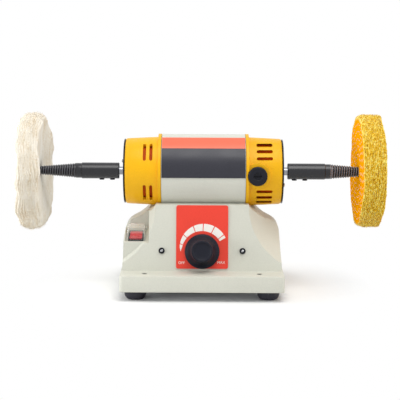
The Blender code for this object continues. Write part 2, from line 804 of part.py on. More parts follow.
def make_panel_screws():
    head = SEAT_GAP + PANEL_SCREW_HEAD_HEIGHT
    reach = -CAST_WALL - SEAT_GAP - POT_BODY_DEPTH + OVERRUN
    profile = [
        (0, head),
        (PANEL_SCREW_HEAD_RADIUS * 0.6, head),
        (PANEL_SCREW_HEAD_RADIUS, SEAT_GAP + PANEL_SCREW_HEAD_HEIGHT * 0.4),
        (PANEL_SCREW_HEAD_RADIUS, SEAT_GAP),
        (PANEL_SCREW_RADIUS, SEAT_GAP),
        (PANEL_SCREW_RADIUS, reach),
        (0, reach),
    ]
    for name, side in (("left", -1), ("right", 1)):
        screw = turned(f"panel_screw_{name}", profile, SCREW_STEPS)
        keep(put(screw, at(FRONT, side * PANEL_SCREW_X, PANEL_SCREW_UP)), "black_steel")


def nut_base():
    return SEAT_GAP + DIAL_THICKNESS + SEAT_GAP


def bush_top():
    return nut_base() + POT_NUT_HEIGHT + POT_BUSH_PROUD


def make_potentiometer():
    """The body behind the panel, its threaded bush and the nut on it, with a bore for the shaft."""
    back = -CAST_WALL - SEAT_GAP
    bore = POT_SHAFT_RADIUS + SEAT_GAP
    floor = back - POT_BODY_DEPTH * 0.6
    profile = [
        (0, bush_top()),
        (POT_BUSH_RADIUS, bush_top()),
        (POT_BUSH_RADIUS, back),
        (POT_BODY_RADIUS, back),
        (POT_BODY_RADIUS, back - POT_BODY_DEPTH),
        (0, back - POT_BODY_DEPTH),
    ]
    body = turned("speed_potentiometer", profile, MID_STEPS)
    nut = rod("potentiometer_nut", POT_NUT_RADIUS, nut_base(), nut_base() + POT_NUT_HEIGHT, 6)
    bore_cutter = rod("potentiometer_bore", bore, floor, bush_top() + OVERRUN, SMALL_STEPS)
    join(body, put(nut, KNOB))
    cut(body, put(bore_cutter, KNOB))
    keep(put(body, KNOB), "zinc_steel")
    return floor


def make_potentiometer_shaft(floor, axis):
    start = floor + SEAT_GAP
    shaft = rod("potentiometer_shaft", POT_SHAFT_RADIUS, start, POT_SHAFT_REACH, SMALL_STEPS)
    keep(put(shaft, KNOB), "zinc_steel", axis)


def make_knob(axis):
    """A skirted knob, hollow underneath for the potentiometer's nut, with a dish in its face."""
    base = SEAT_GAP + DIAL_THICKNESS + KNOB_LIFT
    top = base + KNOB_HEIGHT
    skirt_top = base + KNOB_SKIRT_HEIGHT
    flare_height = (top - skirt_top) * 0.8
    profile = [(0, top - KNOB_DISH_DEPTH), (KNOB_DISH_RADIUS - KNOB_DISH_DEPTH, top - KNOB_DISH_DEPTH)]
    profile += [(KNOB_DISH_RADIUS, top), (KNOB_FACE_RADIUS - KNOB_DISH_DEPTH, top)]
    for step in range(4):
        share = step / 3
        across = KNOB_FACE_RADIUS + (KNOB_WAIST_RADIUS - KNOB_FACE_RADIUS) * share**2
        profile.append((across, skirt_top + flare_height * (1 - share)))
    profile += [
        (KNOB_RADIUS - KNOB_DISH_DEPTH, skirt_top),
        (KNOB_RADIUS, skirt_top - KNOB_DISH_DEPTH),
        (KNOB_RADIUS, base),
        (KNOB_RECESS_RADIUS, base),
        (KNOB_RECESS_RADIUS, bush_top() + RUN_GAP),
        (POT_SHAFT_RADIUS + SEAT_GAP, bush_top() + RUN_GAP),
        (POT_SHAFT_RADIUS + SEAT_GAP, POT_SHAFT_REACH + SEAT_GAP),
        (0, POT_SHAFT_REACH + SEAT_GAP),
    ]
    keep(put(turned("speed_knob", profile, MID_STEPS), KNOB), "black_plastic", axis)


def make_control_board():
    """The board on its two posts behind the panel, with its choke, heat sink and capacitor soldered on."""
    front = -CAST_WALL - 2 * SEAT_GAP - POT_BODY_DEPTH
    back = front - BOARD_THICKNESS
    middle_up = (BOARD_BOTTOM_UP + BOARD_TOP_UP) / 2
    board = box("control_board", (2 * BOARD_HALF_WIDTH, BOARD_TOP_UP - BOARD_BOTTOM_UP, BOARD_THICKNESS))
    put(board, at(FRONT, up=middle_up, out=(front + back) / 2))
    seated = BOARD_THICKNESS / 2
    for name, size, place in (("choke", CHOKE_SIZE, CHOKE_X), ("heat_sink", HEAT_SINK_SIZE, HEAT_SINK_X)):
        part = box(name, size)
        join(board, put(part, at(FRONT, place, middle_up, back + seated - size[2] / 2)))
    capacitor = rod("capacitor", CAPACITOR_RADIUS, back - CAPACITOR_LENGTH, back + seated, SMALL_STEPS)
    join(board, put(capacitor, at(FRONT, up=middle_up)))
    for side in (-1, 1):
        place = at(FRONT, side * PANEL_SCREW_X, PANEL_SCREW_UP)
        post = rod("board_post", STANDOFF_RADIUS, back + seated, -CAST_WALL - SEAT_GAP, SCREW_STEPS)
        join(board, put(post, place))
    for side in (-1, 1):
        place = at(FRONT, side * PANEL_SCREW_X, PANEL_SCREW_UP)
        thread = PANEL_SCREW_RADIUS + SEAT_GAP
        pilot = rod("board_pilot", thread, back - OVERRUN, OVERRUN, SCREW_STEPS)
        cut(board, put(pilot, place))
    keep(board, "board_green")


# Rocker switch under its clear cover


def tapered_box(name, width, length, height, taper):
    """A box standing on its local XY plane, narrower at the top."""
    made = box(name, (width, length, height))
    for vertex in made.data.vertices:
        if vertex.co.z > 0:
            vertex.co.x -= math.copysign(taper, vertex.co.x)
            vertex.co.y -= math.copysign(taper, vertex.co.y)
        vertex.co.z += height / 2
    return made


def make_switch_housing():
    housing = box("switch_housing", (BEZEL_WIDTH, BEZEL_LENGTH, BEZEL_HEIGHT))
    put(housing, at(SWITCH, out=SEAT_GAP + BEZEL_HEIGHT / 2))
    depth = SWITCH_BODY_DEPTH + BEZEL_HEIGHT / 2
    body = box("switch_body", (SWITCH_BODY_WIDTH, SWITCH_BODY_LENGTH, depth))
    join(housing, put(body, at(SWITCH, out=SEAT_GAP + BEZEL_HEIGHT / 2 - depth / 2)))
    well_width = ROCKER_WIDTH + 2 * SEAT_GAP
    well_length = ROCKER_LENGTH + 2 * RUN_GAP
    well_depth = SWITCH_BODY_DEPTH - SWITCH_WALL + BEZEL_HEIGHT + OVERRUN
    well = box("switch_well", (well_width, well_length, well_depth))
    top = SEAT_GAP + BEZEL_HEIGHT + OVERRUN
    cut(housing, put(well, at(SWITCH, out=top - well_depth / 2)))
    keep(housing, "black_plastic")


def make_rocker(axis, axis_matrix):
    """Seen from the side, a bar with two flat faces that meet in a shallow V, tipped to its off side."""
    half = ROCKER_LENGTH / 2
    rise = half * math.tan(ROCKER_TIP)
    belly = ROCKER_THICKNESS + BEZEL_HEIGHT
    outline = [
        (-half, rise + ROCKER_PIVOT_DEPTH / 2),
        (-half * 0.9, -belly * 0.35),
        (0, -belly),
        (half * 0.9, -belly * 0.35),
        (half, rise + ROCKER_PIVOT_DEPTH / 2),
        (0, ROCKER_PIVOT_DEPTH / 2),
    ]
    rocker = sheet("switch_rocker", [outline], ROCKER_WIDTH)
    put(rocker, axis_matrix @ Matrix.Rotation(-ROCKER_TIP, 4, "X") @ SIDE_VIEW)
    keep(rocker, "red_plastic", axis)


def make_switch_cover():
    room_for_taper = COVER_TAPER * (BEZEL_HEIGHT + OVERRUN) / COVER_HEIGHT
    inner_width = BEZEL_WIDTH + 2 * SEAT_GAP + 2 * room_for_taper
    inner_length = BEZEL_LENGTH + 2 * SEAT_GAP + 2 * room_for_taper
    width = inner_width + 2 * COVER_WALL
    length = inner_length + 2 * COVER_WALL
    cover = tapered_box("switch_cover", width, length, COVER_HEIGHT, COVER_TAPER)
    room = COVER_HEIGHT - COVER_WALL
    lifted = room + OVERRUN
    taper = COVER_TAPER * lifted / COVER_HEIGHT
    inside = tapered_box("cover_room", inner_width, inner_length, lifted, taper)
    put(cover, at(SWITCH, out=SEAT_GAP))
    cut(cover, put(inside, at(SWITCH, out=SEAT_GAP - OVERRUN)))
    keep(cover, "clear_plastic")


def make_cord_gland():
    wall_inside = -CAST_WALL - SEAT_GAP
    profile = [
        (GLAND_BORE_RADIUS, SEAT_GAP + GLAND_OUTER_LENGTH),
        (GLAND_FLANGE_RADIUS * 0.8, SEAT_GAP + GLAND_OUTER_LENGTH),
        (GLAND_FLANGE_RADIUS, SEAT_GAP + GLAND_OUTER_LENGTH * 0.4),
        (GLAND_FLANGE_RADIUS, SEAT_GAP),
        (GLAND_NECK_RADIUS, SEAT_GAP),
        (GLAND_NECK_RADIUS, wall_inside),
        (GLAND_FLANGE_RADIUS, wall_inside),
        (GLAND_FLANGE_RADIUS * 0.9, wall_inside - GLAND_INNER_LENGTH),
        (GLAND_BORE_RADIUS, wall_inside - GLAND_INNER_LENGTH),
    ]
    gland = turned("cord_gland", profile, SMALL_STEPS, ring=True)
    keep(put(gland, at(REAR, -GLAND_X, GLAND_UP)), "black_rubber")


# Motor casing


def arc_band(inner, outer, low, high, steps):
    """A closed outline between two radii, with its angles measured up from the front."""
    points = arc((0, 0), outer, low, high, steps) + arc((0, 0), inner, high, low, steps)
    return [(-across, up) for across, up in points[::-1]]


def along_motor(name, outlines, start, end):
    """An outline seen from the left, Y across and Z up from the shaft, run along the shaft."""
    made = sheet(name, outlines, end - start)
    return put(made, SHAFT_AXIS @ Matrix.Translation(((start + end) / 2, 0, 0)) @ SIDE_VIEW)


def make_motor_tube():
    inner = TUBE_RADIUS - TUBE_WALL
    profile = [
        (inner, TUBE_HALF_LENGTH),
        (TUBE_RADIUS, TUBE_HALF_LENGTH),
        (TUBE_RADIUS, -TUBE_HALF_LENGTH),
        (inner, -TUBE_HALF_LENGTH),
    ]
    tube = put(turned("motor_tube", profile, BIG_STEPS, ring=True), along_shaft(1))
    for side in (-1, 1):
        hole = rod("tube_bolt_hole", MOTOR_BOLT_RADIUS + SEAT_GAP, 0, AXIS_HEIGHT, SCREW_STEPS)
        cut(tube, put(hole, Matrix.Translation((MOTOR_X + side * MOTOR_BOLT_X, 0, 0))))
    keep(tube, "grey_paint")


def make_motor_bolts():
    under = AXIS_HEIGHT - TUBE_RADIUS - 2 * SEAT_GAP - CAST_WALL
    top = AXIS_HEIGHT - TUBE_RADIUS + TUBE_WALL + MOTOR_BOLT_REACH
    profile = [
        (0, top),
        (MOTOR_BOLT_RADIUS, top),
        (MOTOR_BOLT_RADIUS, under),
        (MOTOR_BOLT_HEAD_RADIUS, under),
        (MOTOR_BOLT_HEAD_RADIUS, under - MOTOR_BOLT_HEAD_HEIGHT),
        (0, under - MOTOR_BOLT_HEAD_HEIGHT),
    ]
    for name, side in (("left", -1), ("right", 1)):
        bolt = turned(f"motor_bolt_{name}", profile, SCREW_STEPS)
        keep(put(bolt, Matrix.Translation((MOTOR_X + side * MOTOR_BOLT_X, 0, 0))), "zinc_steel")


def make_nameplate():
    inner = TUBE_RADIUS + SEAT_GAP
    outer = inner + NAMEPLATE_THICKNESS
    outline = arc_band(inner, outer, NAMEPLATE_LOW, NAMEPLATE_HIGH, BIG_STEPS // 4)
    plate = along_motor("motor_nameplate", [outline], -NAMEPLATE_HALF_WIDTH, NAMEPLATE_HALF_WIDTH)
    keep(plate, "label_foil")


def magnet_bore():
    return TUBE_RADIUS - TUBE_WALL - SEAT_GAP - MAGNET_THICKNESS


def make_magnets():
    outer = TUBE_RADIUS - TUBE_WALL - SEAT_GAP
    for name, centre in (("front", 0), ("rear", math.pi)):
        low, high = centre - MAGNET_HALF_ANGLE, centre + MAGNET_HALF_ANGLE
        outline = arc_band(magnet_bore(), outer, low, high, BIG_STEPS // 3)
        magnet = along_motor(f"magnet_{name}", [outline], -MAGNET_HALF_LENGTH, MAGNET_HALF_LENGTH)
        keep(magnet, "ferrite")


# End caps, their bearings and end plates


def cap_profile():
    rim_start = TUBE_HALF_LENGTH + SEAT_GAP
    rim_end = rim_start + CAP_RIM_WIDTH
    spigot = TUBE_RADIUS - TUBE_WALL - SEAT_GAP
    spigot_end = rim_start - SPIGOT_LENGTH
    end_wall = CAP_END - CAP_END_WALL
    boss = BEARING_RADIUS + SEAT_GAP + BEARING_BOSS_WALL
    seat = CAP_END - SEAT_GAP - BEARING_WIDTH - SEAT_GAP
    lip = seat - BEARING_LIP
    bore = BEARING_RADIUS + SEAT_GAP
    profile = [(bore, CAP_END)]
    corner = (CAP_END_RADIUS - CAP_END_CORNER, CAP_END - CAP_END_CORNER)
    profile += arc(corner, CAP_END_CORNER, math.pi / 2, 0, 2)
    profile += [
        (CAP_BODY_RADIUS, rim_end),
        (CAP_RIM_RADIUS, rim_end),
        (CAP_RIM_RADIUS, rim_start),
        (spigot, rim_start),
        (spigot, spigot_end),
        (CAP_BODY_RADIUS - CAP_WALL, spigot_end),
        (CAP_END_RADIUS - CAP_WALL, end_wall),
        (boss, end_wall),
        (boss, lip),
        (BEARING_RADIUS * 0.75, lip),
        (BEARING_RADIUS * 0.75, seat),
        (bore, seat),
    ]
    return profile


def plate_screw_places():
    """How far the two screws of an end plate lie from the shaft, towards the rear."""
    reach = PLATE_SCREW_CIRCLE * math.sqrt(0.5)
    return {"front": -reach, "rear": reach}


def screw_matrix(side, deep):
    """A plate screw's axis. On the left the front screw is the upper one, on the right the lower."""
    turn = Matrix.Rotation(side * math.pi / 2, 4, "Y")
    return SHAFT_AXIS @ Matrix.Translation((0, deep, deep * side)) @ turn


def arc_vents(cap):
    """Two rows of slots that run round the left cap, above and below its middle, front and rear."""
    reach = CAP_WALL + OVERRUN
    inner, outer = CAP_END_RADIUS - 2 * reach, CAP_BODY_RADIUS + OVERRUN
    half = ARC_VENT_WIDTH / 2

    def slot_end(first, second):
        radial = math.hypot(first.x - second.x, first.y - second.y) > reach
        return radial and abs(first.z - second.z) < MERGE_DISTANCE

    for place in ARC_VENT_PLACES:
        for start in (0, math.pi):
            for sign in (-1, 1):
                low, high = sorted((sign * ARC_VENT_START, sign * ARC_VENT_END))
                turn = start + LEFT_CAP_TURN
                outline = arc_band(inner, outer, turn + low, turn + high, 3)
                vent = along_motor("arc_vent", [outline], -place - half, -place + half)
                bevel_edges(vent, slot_end, half * 0.9, 2)
                cut(cap, vent)


def slot_vents(cap):
    """Three straight slots above and three below the brush boss, cut square to the front and the rear."""
    half_length, half_width = SLOT_VENT_LENGTH / 2, SLOT_VENT_WIDTH / 2
    outline = rounded_rectangle(-half_length, -half_width, half_length, half_width, half_width * 0.98, 2)
    radius = (CAP_BODY_RADIUS + CAP_END_RADIUS) / 2
    depth = 2 * (CAP_WALL + OVERRUN)
    for face in (-1, 1):
        for sign in (-1, 1):
            for angle in SLOT_VENT_ANGLES:
                vent = sheet("slot_vent", [outline], 2 * depth)
                rise = sign * radius * math.sin(angle)
                lift = Matrix.Translation((0, -face * rise, radius * math.cos(angle)))
                cut(cap, put(vent, across_shaft(face, SLOT_VENT_PLACE) @ lift))


def brush_bosses(cap):
    """A round boss for each brush holder, outside the wall, and a post that carries it inside."""
    wall = CAP_END_RADIUS - 2 * CAP_WALL
    for face in (-1, 1):
        place = across_shaft(face, BRUSH_X)
        boss = put(rod("brush_boss", BRUSH_BOSS_RADIUS, wall, BRUSH_BOSS_FACE, MID_STEPS), place)
        beside_tube = box("beside_tube", (2 * BRUSH_BOSS_RADIUS, 2 * CAP_RIM_RADIUS, 2 * BRUSH_BOSS_RADIUS))
        reach = TUBE_HALF_LENGTH + SEAT_GAP - BRUSH_BOSS_RADIUS
        cut(boss, put(beside_tube, SHAFT_AXIS @ Matrix.Translation((reach, face * CAP_RIM_RADIUS, 0))))
        join(cap, boss)
        post = rod("brush_post", BRUSH_POST_RADIUS, BRUSH_POST_END, wall + CAP_WALL, MID_STEPS)
        join(cap, put(post, place))
    for face in (-1, 1):
        place = across_shaft(face, BRUSH_X)
        bore = HOLDER_RADIUS + SEAT_GAP
        cut(cap, put(rod("holder_bore", bore, HOLDER_END, BRUSH_BOSS_FACE + OVERRUN, SMALL_STEPS), place))
        seat = BRUSH_CAP_RADIUS + RUN_GAP
        spot_face = rod("brush_cap_seat", seat, BRUSH_BOSS_FACE, CAP_RIM_RADIUS + OVERRUN, MID_STEPS)
        cut(cap, put(spot_face, place))


def make_end_caps():
    for name, side in (("left", -1), ("right", 1)):
        cap = put(turned(f"end_cap_{name}", cap_profile(), BIG_STEPS, ring=True), along_shaft(side))
        if side < 0:
            arc_vents(cap)
        else:
            brush_bosses(cap)
            slot_vents(cap)
        start = CAP_END - PLATE_SCREW_DEPTH - RUN_GAP
        for deep in plate_screw_places().values():
            pilot = rod("cap_pilot", PLATE_SCREW_RADIUS + SEAT_GAP, start, CAP_END + OVERRUN, SCREW_STEPS)
            cut(cap, put(pilot, screw_matrix(side, deep)))
        keep(cap, "yellow_paint")


def make_end_plates():
    start = CAP_END + SEAT_GAP
    end = start + END_PLATE_THICKNESS
    hole = SHAFT_END_RADIUS + RUN_GAP
    rim = CAP_END_RADIUS - END_PLATE_INSET
    profile = [(hole, end), (rim, end), (rim, start), (hole, start)]
    head_bottom = end + SEAT_GAP
    head_top = head_bottom + PLATE_SCREW_HEAD_HEIGHT
    screw_profile = [
        (0, head_top),
        (PLATE_SCREW_HEAD_RADIUS * 0.6, head_top),
        (PLATE_SCREW_HEAD_RADIUS, head_bottom + PLATE_SCREW_HEAD_HEIGHT * 0.4),
        (PLATE_SCREW_HEAD_RADIUS, head_bottom),
        (PLATE_SCREW_RADIUS, head_bottom),
        (PLATE_SCREW_RADIUS, CAP_END - PLATE_SCREW_DEPTH),
        (0, CAP_END - PLATE_SCREW_DEPTH),
    ]
    for name, side in (("left", -1), ("right", 1)):
        plate = put(turned(f"end_plate_{name}", profile, BIG_STEPS, ring=True), along_shaft(side))
        for row, deep in plate_screw_places().items():
            place = screw_matrix(side, deep)
            opening = rod("plate_hole", PLATE_SCREW_RADIUS + SEAT_GAP, CAP_END, end + OVERRUN, SCREW_STEPS)
            cut(plate, put(opening, place))
            screw = turned(f"plate_screw_{name}_{row}", screw_profile, SCREW_STEPS)
            keep(put(screw, place), "zinc_steel")
        keep(plate, "black_steel")


def bearing_span():
    end = CAP_END - SEAT_GAP
    return end - BEARING_WIDTH, end


def make_bearings(shaft_axis):
    start, end = bearing_span()
    shield = BEARING_SHIELD
    race = BEARING_RADIUS - BEARING_OUTER_WALL
    inner_race = SHAFT_END_RADIUS + SEAT_GAP + BEARING_INNER_WALL
    lip = inner_race + RUN_GAP
    outer = [
        (lip, end),
        (BEARING_RADIUS, end),
        (BEARING_RADIUS, start),
        (lip, start),
        (lip, start + shield),
        (race, start + shield),
        (race, end - shield),
        (lip, end - shield),
    ]
    bore = SHAFT_END_RADIUS + SEAT_GAP
    inner = [(bore, end), (inner_race, end), (inner_race, start), (bore, start)]
    for name, side in (("left", -1), ("right", 1)):
        ring = turned(f"bearing_outer_{name}", outer, MID_STEPS, ring=True)
        keep(put(ring, along_shaft(side)), "bright_steel")
        ring = turned(f"bearing_inner_{name}", inner, MID_STEPS, ring=True)
        keep(put(ring, along_shaft(side)), "bright_steel", shaft_axis)


# Brushes with their holders, springs and caps


def stem_end():
    return BRUSH_BOSS_FACE + SEAT_GAP - BRUSH_CAP_STEM


def spring_start():
    return COMMUTATOR_RADIUS + SEAT_GAP + BRUSH_LENGTH + SEAT_GAP


def make_brush_holder(name, place):
    top = BRUSH_BOSS_FACE - SEAT_GAP
    holder = put(rod(f"brush_holder_{name}", HOLDER_RADIUS, HOLDER_END, top, MID_STEPS), place)
    width, height = BRUSH_WIDTH + 2 * SEAT_GAP, BRUSH_HEIGHT + 2 * SEAT_GAP
    channel = box("brush_channel", (width, height, BRUSH_BOSS_FACE))
    threads = rod("cap_threads", HOLDER_BORE_RADIUS, stem_end() - SEAT_GAP, top + OVERRUN, SMALL_STEPS)
    channel_place = place @ Matrix.Translation((0, 0, stem_end() - BRUSH_BOSS_FACE / 2))
    cut(holder, put(channel, channel_place), put(threads, place))
    keep(holder, "brass")


def make_brush_cap(name, place):
    base = BRUSH_BOSS_FACE + SEAT_GAP
    top = base + BRUSH_CAP_HEIGHT
    stem = HOLDER_BORE_RADIUS - SEAT_GAP
    edge = BRUSH_CAP_HEIGHT / 4
    profile = [
        (0, top - BRUSH_CAP_SOCKET_DEPTH),
        (BRUSH_CAP_SOCKET, top - BRUSH_CAP_SOCKET_DEPTH),
        (BRUSH_CAP_SOCKET, top - edge / 2),
        (BRUSH_CAP_SOCKET + edge / 2, top - edge / 2),
        (BRUSH_CAP_SOCKET + edge, top),
        (BRUSH_CAP_RADIUS - edge, top),
        (BRUSH_CAP_RADIUS, top - edge),
        (BRUSH_CAP_RADIUS, base),
        (stem, base),
        (stem, stem_end()),
        (0, stem_end()),
    ]
    cap = put(turned(f"brush_cap_{name}", profile, MID_STEPS), place)
    slot = box("cap_slot", (2 * BRUSH_CAP_SOCKET + edge, BRUSH_CAP_SLOT_WIDTH, 2 * BRUSH_CAP_SOCKET_DEPTH))
    cut(cap, put(slot, place @ Matrix.Translation((0, 0, top - BRUSH_CAP_SOCKET_DEPTH))))
    keep(cap, "black_plastic")


def spring_points():
    """One helix from just clear of the brush to just clear of the cap's stem."""
    first = spring_start() + SPRING_WIRE_RADIUS
    last = stem_end() - SEAT_GAP - SPRING_WIRE_RADIUS
    count = SPRING_TURNS * SPRING_POINTS_PER_TURN
    points = []
    for step in range(count + 1):
        angle = 2 * math.pi * step / SPRING_POINTS_PER_TURN
        height = first + (last - first) * step / count
        points.append(Vector((SPRING_RADIUS * math.cos(angle), SPRING_RADIUS * math.sin(angle), height)))
    return points


def least_gap(points, radius):
    """The least space between turns, over all the points that are half a turn or more apart."""
    apart = SPRING_POINTS_PER_TURN // 2
    pairs = ((a, b) for a in range(len(points)) for b in range(a + apart, len(points)))
    return min((points[a] - points[b]).length for a, b in pairs) - 2 * radius


def make_brush_spring(name, place):
    curve = bpy.data.curves.new(f"brush_spring_{name}", "CURVE")
    curve.dimensions = "3D"
    curve.bevel_depth = SPRING_WIRE_RADIUS
    curve.bevel_resolution = 1
    curve.use_fill_caps = True
    points = spring_points()
    spline = curve.splines.new("POLY")
    spline.points.add(len(points) - 1)
    for point, centre in zip(spline.points, points):
        point.co = (*centre, 1)
    spring = as_mesh(put(new_object(f"brush_spring_{name}", curve), place))
    keep(spring, "bright_steel")
    print(f"{spring.name}: least gap between turns {least_gap(points, SPRING_WIRE_RADIUS) * 1000:.2f} mm")


def make_carbon_brush(name, place, axis):
    start = COMMUTATOR_RADIUS / 2
    end = spring_start() - SEAT_GAP
    brush = box(f"carbon_brush_{name}", (BRUSH_WIDTH, BRUSH_HEIGHT, end - start))
    put(brush, place @ Matrix.Translation((0, 0, (start + end) / 2)))
    round_end = rod(
        "commutator_round", COMMUTATOR_RADIUS + SEAT_GAP, -COMMUTATOR_END, COMMUTATOR_END, BIG_STEPS
    )
    cut(brush, put(round_end, SHAFT_AXIS @ Matrix.Translation((BRUSH_X, 0, 0)) @ along_x()))
    keep(brush, "carbon", axis)


def along_x():
    return Matrix.Rotation(math.pi / 2, 4, "Y")


def make_brushes():
    for name, face in (("front", -1), ("rear", 1)):
        place = across_shaft(face, BRUSH_X)
        make_brush_holder(name, place)
        make_brush_cap(name, place)
        make_brush_spring(name, place)
        make_carbon_brush(name, place, pivot(f"brush_axis_{name}", place))


# Rotor


def make_shaft(axis):
    shoulder = bearing_span()[0] - SEAT_GAP
    chamfer = SPINDLE_CHAMFER
    half = [
        (0, SHAFT_HALF_LENGTH),
        (SHAFT_END_RADIUS - chamfer, SHAFT_HALF_LENGTH),
        (SHAFT_END_RADIUS, SHAFT_HALF_LENGTH - chamfer),
        (SHAFT_END_RADIUS, shoulder),
        (SHAFT_CORE_RADIUS, shoulder),
    ]
    profile = half + [(radius, -height) for radius, height in reversed(half)]
    keep(put(turned("motor_shaft", profile, SMALL_STEPS), along_shaft(1)), "bright_steel", axis)


def core_outline():
    """The laminations seen end on: teeth with narrow slot mouths between them."""
    pitch = 2 * math.pi / CORE_SLOTS
    lip = CORE_RADIUS - SLOT_LIP
    mouth, wide = SLOT_MOUTH_HALF_WIDTH, SLOT_HALF_WIDTH
    half_slot = [(SLOT_FLOOR_RADIUS, wide), (lip, wide), (lip, mouth), (CORE_RADIUS, mouth)]
    slot = [(across, -up) for across, up in reversed(half_slot)] + half_slot
    points = []
    for index in range(CORE_SLOTS):
        turn = Matrix.Rotation(index * pitch, 2)
        points += [tuple(turn @ Vector(point)) for point in slot]
        points.append(tuple(turn @ Vector(arc((0, 0), CORE_RADIUS, 0, pitch / 2, 1)[1])))
    return points


def make_armature(axis):
    bore = SHAFT_CORE_RADIUS + SEAT_GAP
    outlines = [core_outline(), circle((0, 0), bore, SMALL_STEPS)]
    core = along_motor("armature_core", outlines, -CORE_HALF_LENGTH, CORE_HALF_LENGTH)
    keep(core, "bright_steel", axis)

    start = CORE_HALF_LENGTH + SEAT_GAP
    inner = SHAFT_CORE_RADIUS + RUN_GAP
    corner = WINDING_RADIUS / 6
    rings = []
    for name, side, end in (("left", -1, WINDING_LEFT_END), ("right", 1, WINDING_RIGHT_END)):
        profile = [
            (inner, end),
            (WINDING_RADIUS - corner, end),
            (WINDING_RADIUS, end - corner),
            (WINDING_RADIUS, start + corner / 2),
            (WINDING_RADIUS - corner / 2, start),
            (inner, start),
        ]
        rings.append(put(turned(f"winding_{name}", profile, MID_STEPS, ring=True), along_shaft(side)))
    winding, other_ring = rings
    winding.name = "armature_winding"
    floor = SLOT_FLOOR_RADIUS + SEAT_GAP
    top = CORE_RADIUS - SLOT_LIP - SEAT_GAP - corner / 2
    size = (2 * (start + corner / 2), 2 * (SLOT_HALF_WIDTH - SEAT_GAP), top - floor)
    bars = bmesh.new()
    for index in range(CORE_SLOTS):
        turn = Matrix.Rotation(2 * math.pi * index / CORE_SLOTS, 4, "X")
        lift = Matrix.Translation((0, 0, (floor + top) / 2))
        bmesh.ops.create_cube(bars, size=1, matrix=turn @ lift @ Matrix.Diagonal((*size, 1)))
    join(winding, other_ring, put(from_bmesh("winding_bars", bars), SHAFT_AXIS))
    keep(winding, "copper", axis)


def make_commutator(axis):
    bore = SHAFT_CORE_RADIUS + SEAT_GAP
    riser_end = COMMUTATOR_START + COMMUTATOR_RISER
    profile = [
        (bore, COMMUTATOR_END),
        (COMMUTATOR_RADIUS, COMMUTATOR_END),
        (COMMUTATOR_RADIUS, riser_end),
        (COMMUTATOR_RISER_RADIUS, riser_end),
        (COMMUTATOR_RISER_RADIUS, COMMUTATOR_START),
        (bore, COMMUTATOR_START),
    ]
    made = turned("commutator", profile, MID_STEPS, ring=True)
    keep(put(made, along_shaft(1)), "copper", axis)


def make_fan(axis):
    """Straight blades round a hub, closed on the motor's side by a disc."""
    pitch = 2 * math.pi / FAN_BLADES
    outline = []
    for index in range(FAN_BLADES):
        turn = Matrix.Rotation(index * pitch, 2)
        root = math.sqrt(FAN_HUB_RADIUS**2 - FAN_BLADE_HALF**2)
        blade = [(root, -FAN_BLADE_HALF), (FAN_RADIUS, -FAN_BLADE_HALF)]
        blade += [(across, -up) for across, up in reversed(blade)]
        outline += [tuple(turn @ Vector(point)) for point in blade]
        outline.append(tuple(turn @ Vector(arc((0, 0), FAN_HUB_RADIUS, 0, pitch / 2, 1)[1])))
    bore = SHAFT_CORE_RADIUS + SEAT_GAP
    end = FAN_START + FAN_LENGTH
    fan = along_motor("cooling_fan", [outline], -end, -FAN_START)
    disc = rod("fan_disc", FAN_RADIUS, FAN_START - FAN_DISC, FAN_START + FAN_DISC / 2, MID_STEPS)
    join(fan, put(disc, along_shaft(-1)))
    hole = rod("fan_bore", bore, FAN_START - FAN_DISC - OVERRUN, end + OVERRUN, SMALL_STEPS)
    cut(fan, put(hole, along_shaft(-1)))
    keep(fan, "black_plastic", axis)


# Tapered spindles and their set screws


def crest_radius(place):
    """The spindle's radius over its thread crests, which falls evenly to the tip."""
    start_radius = SPINDLE_RADIUS - SPINDLE_RELIEF_DEPTH
    share = (place - SPINDLE_THREAD_START) / (SPINDLE_END - SPINDLE_THREAD_START)
    return start_radius + (SPINDLE_TIP_RADIUS - start_radius) * min(share, 1)


def spindle_profile():
    bore = SHAFT_END_RADIUS + SEAT_GAP
    relief = SPINDLE_RADIUS - SPINDLE_RELIEF_DEPTH
    profile = [(0, SPINDLE_END), (crest_radius(SPINDLE_END) - THREAD_DEPTH, SPINDLE_END)]
    turns = int((SPINDLE_END - SPINDLE_THREAD_START) / THREAD_PITCH)
    for index in range(turns):
        crest = SPINDLE_END - (index + 0.5) * THREAD_PITCH
        root = crest - THREAD_PITCH / 2
        profile += [(crest_radius(crest), crest), (crest_radius(root) - THREAD_DEPTH, root)]
    profile += [
        (relief, SPINDLE_THREAD_START - SPINDLE_CHAMFER),
        (relief, SPINDLE_BODY_END + SPINDLE_CHAMFER),
        (SPINDLE_RADIUS, SPINDLE_BODY_END),
        (SPINDLE_RADIUS, SPINDLE_START + SPINDLE_CHAMFER),
        (SPINDLE_RADIUS - SPINDLE_CHAMFER, SPINDLE_START),
        (bore, SPINDLE_START),
        (bore, SHAFT_HALF_LENGTH + SEAT_GAP),
        (0, SHAFT_HALF_LENGTH + SEAT_GAP),
    ]
    return profile


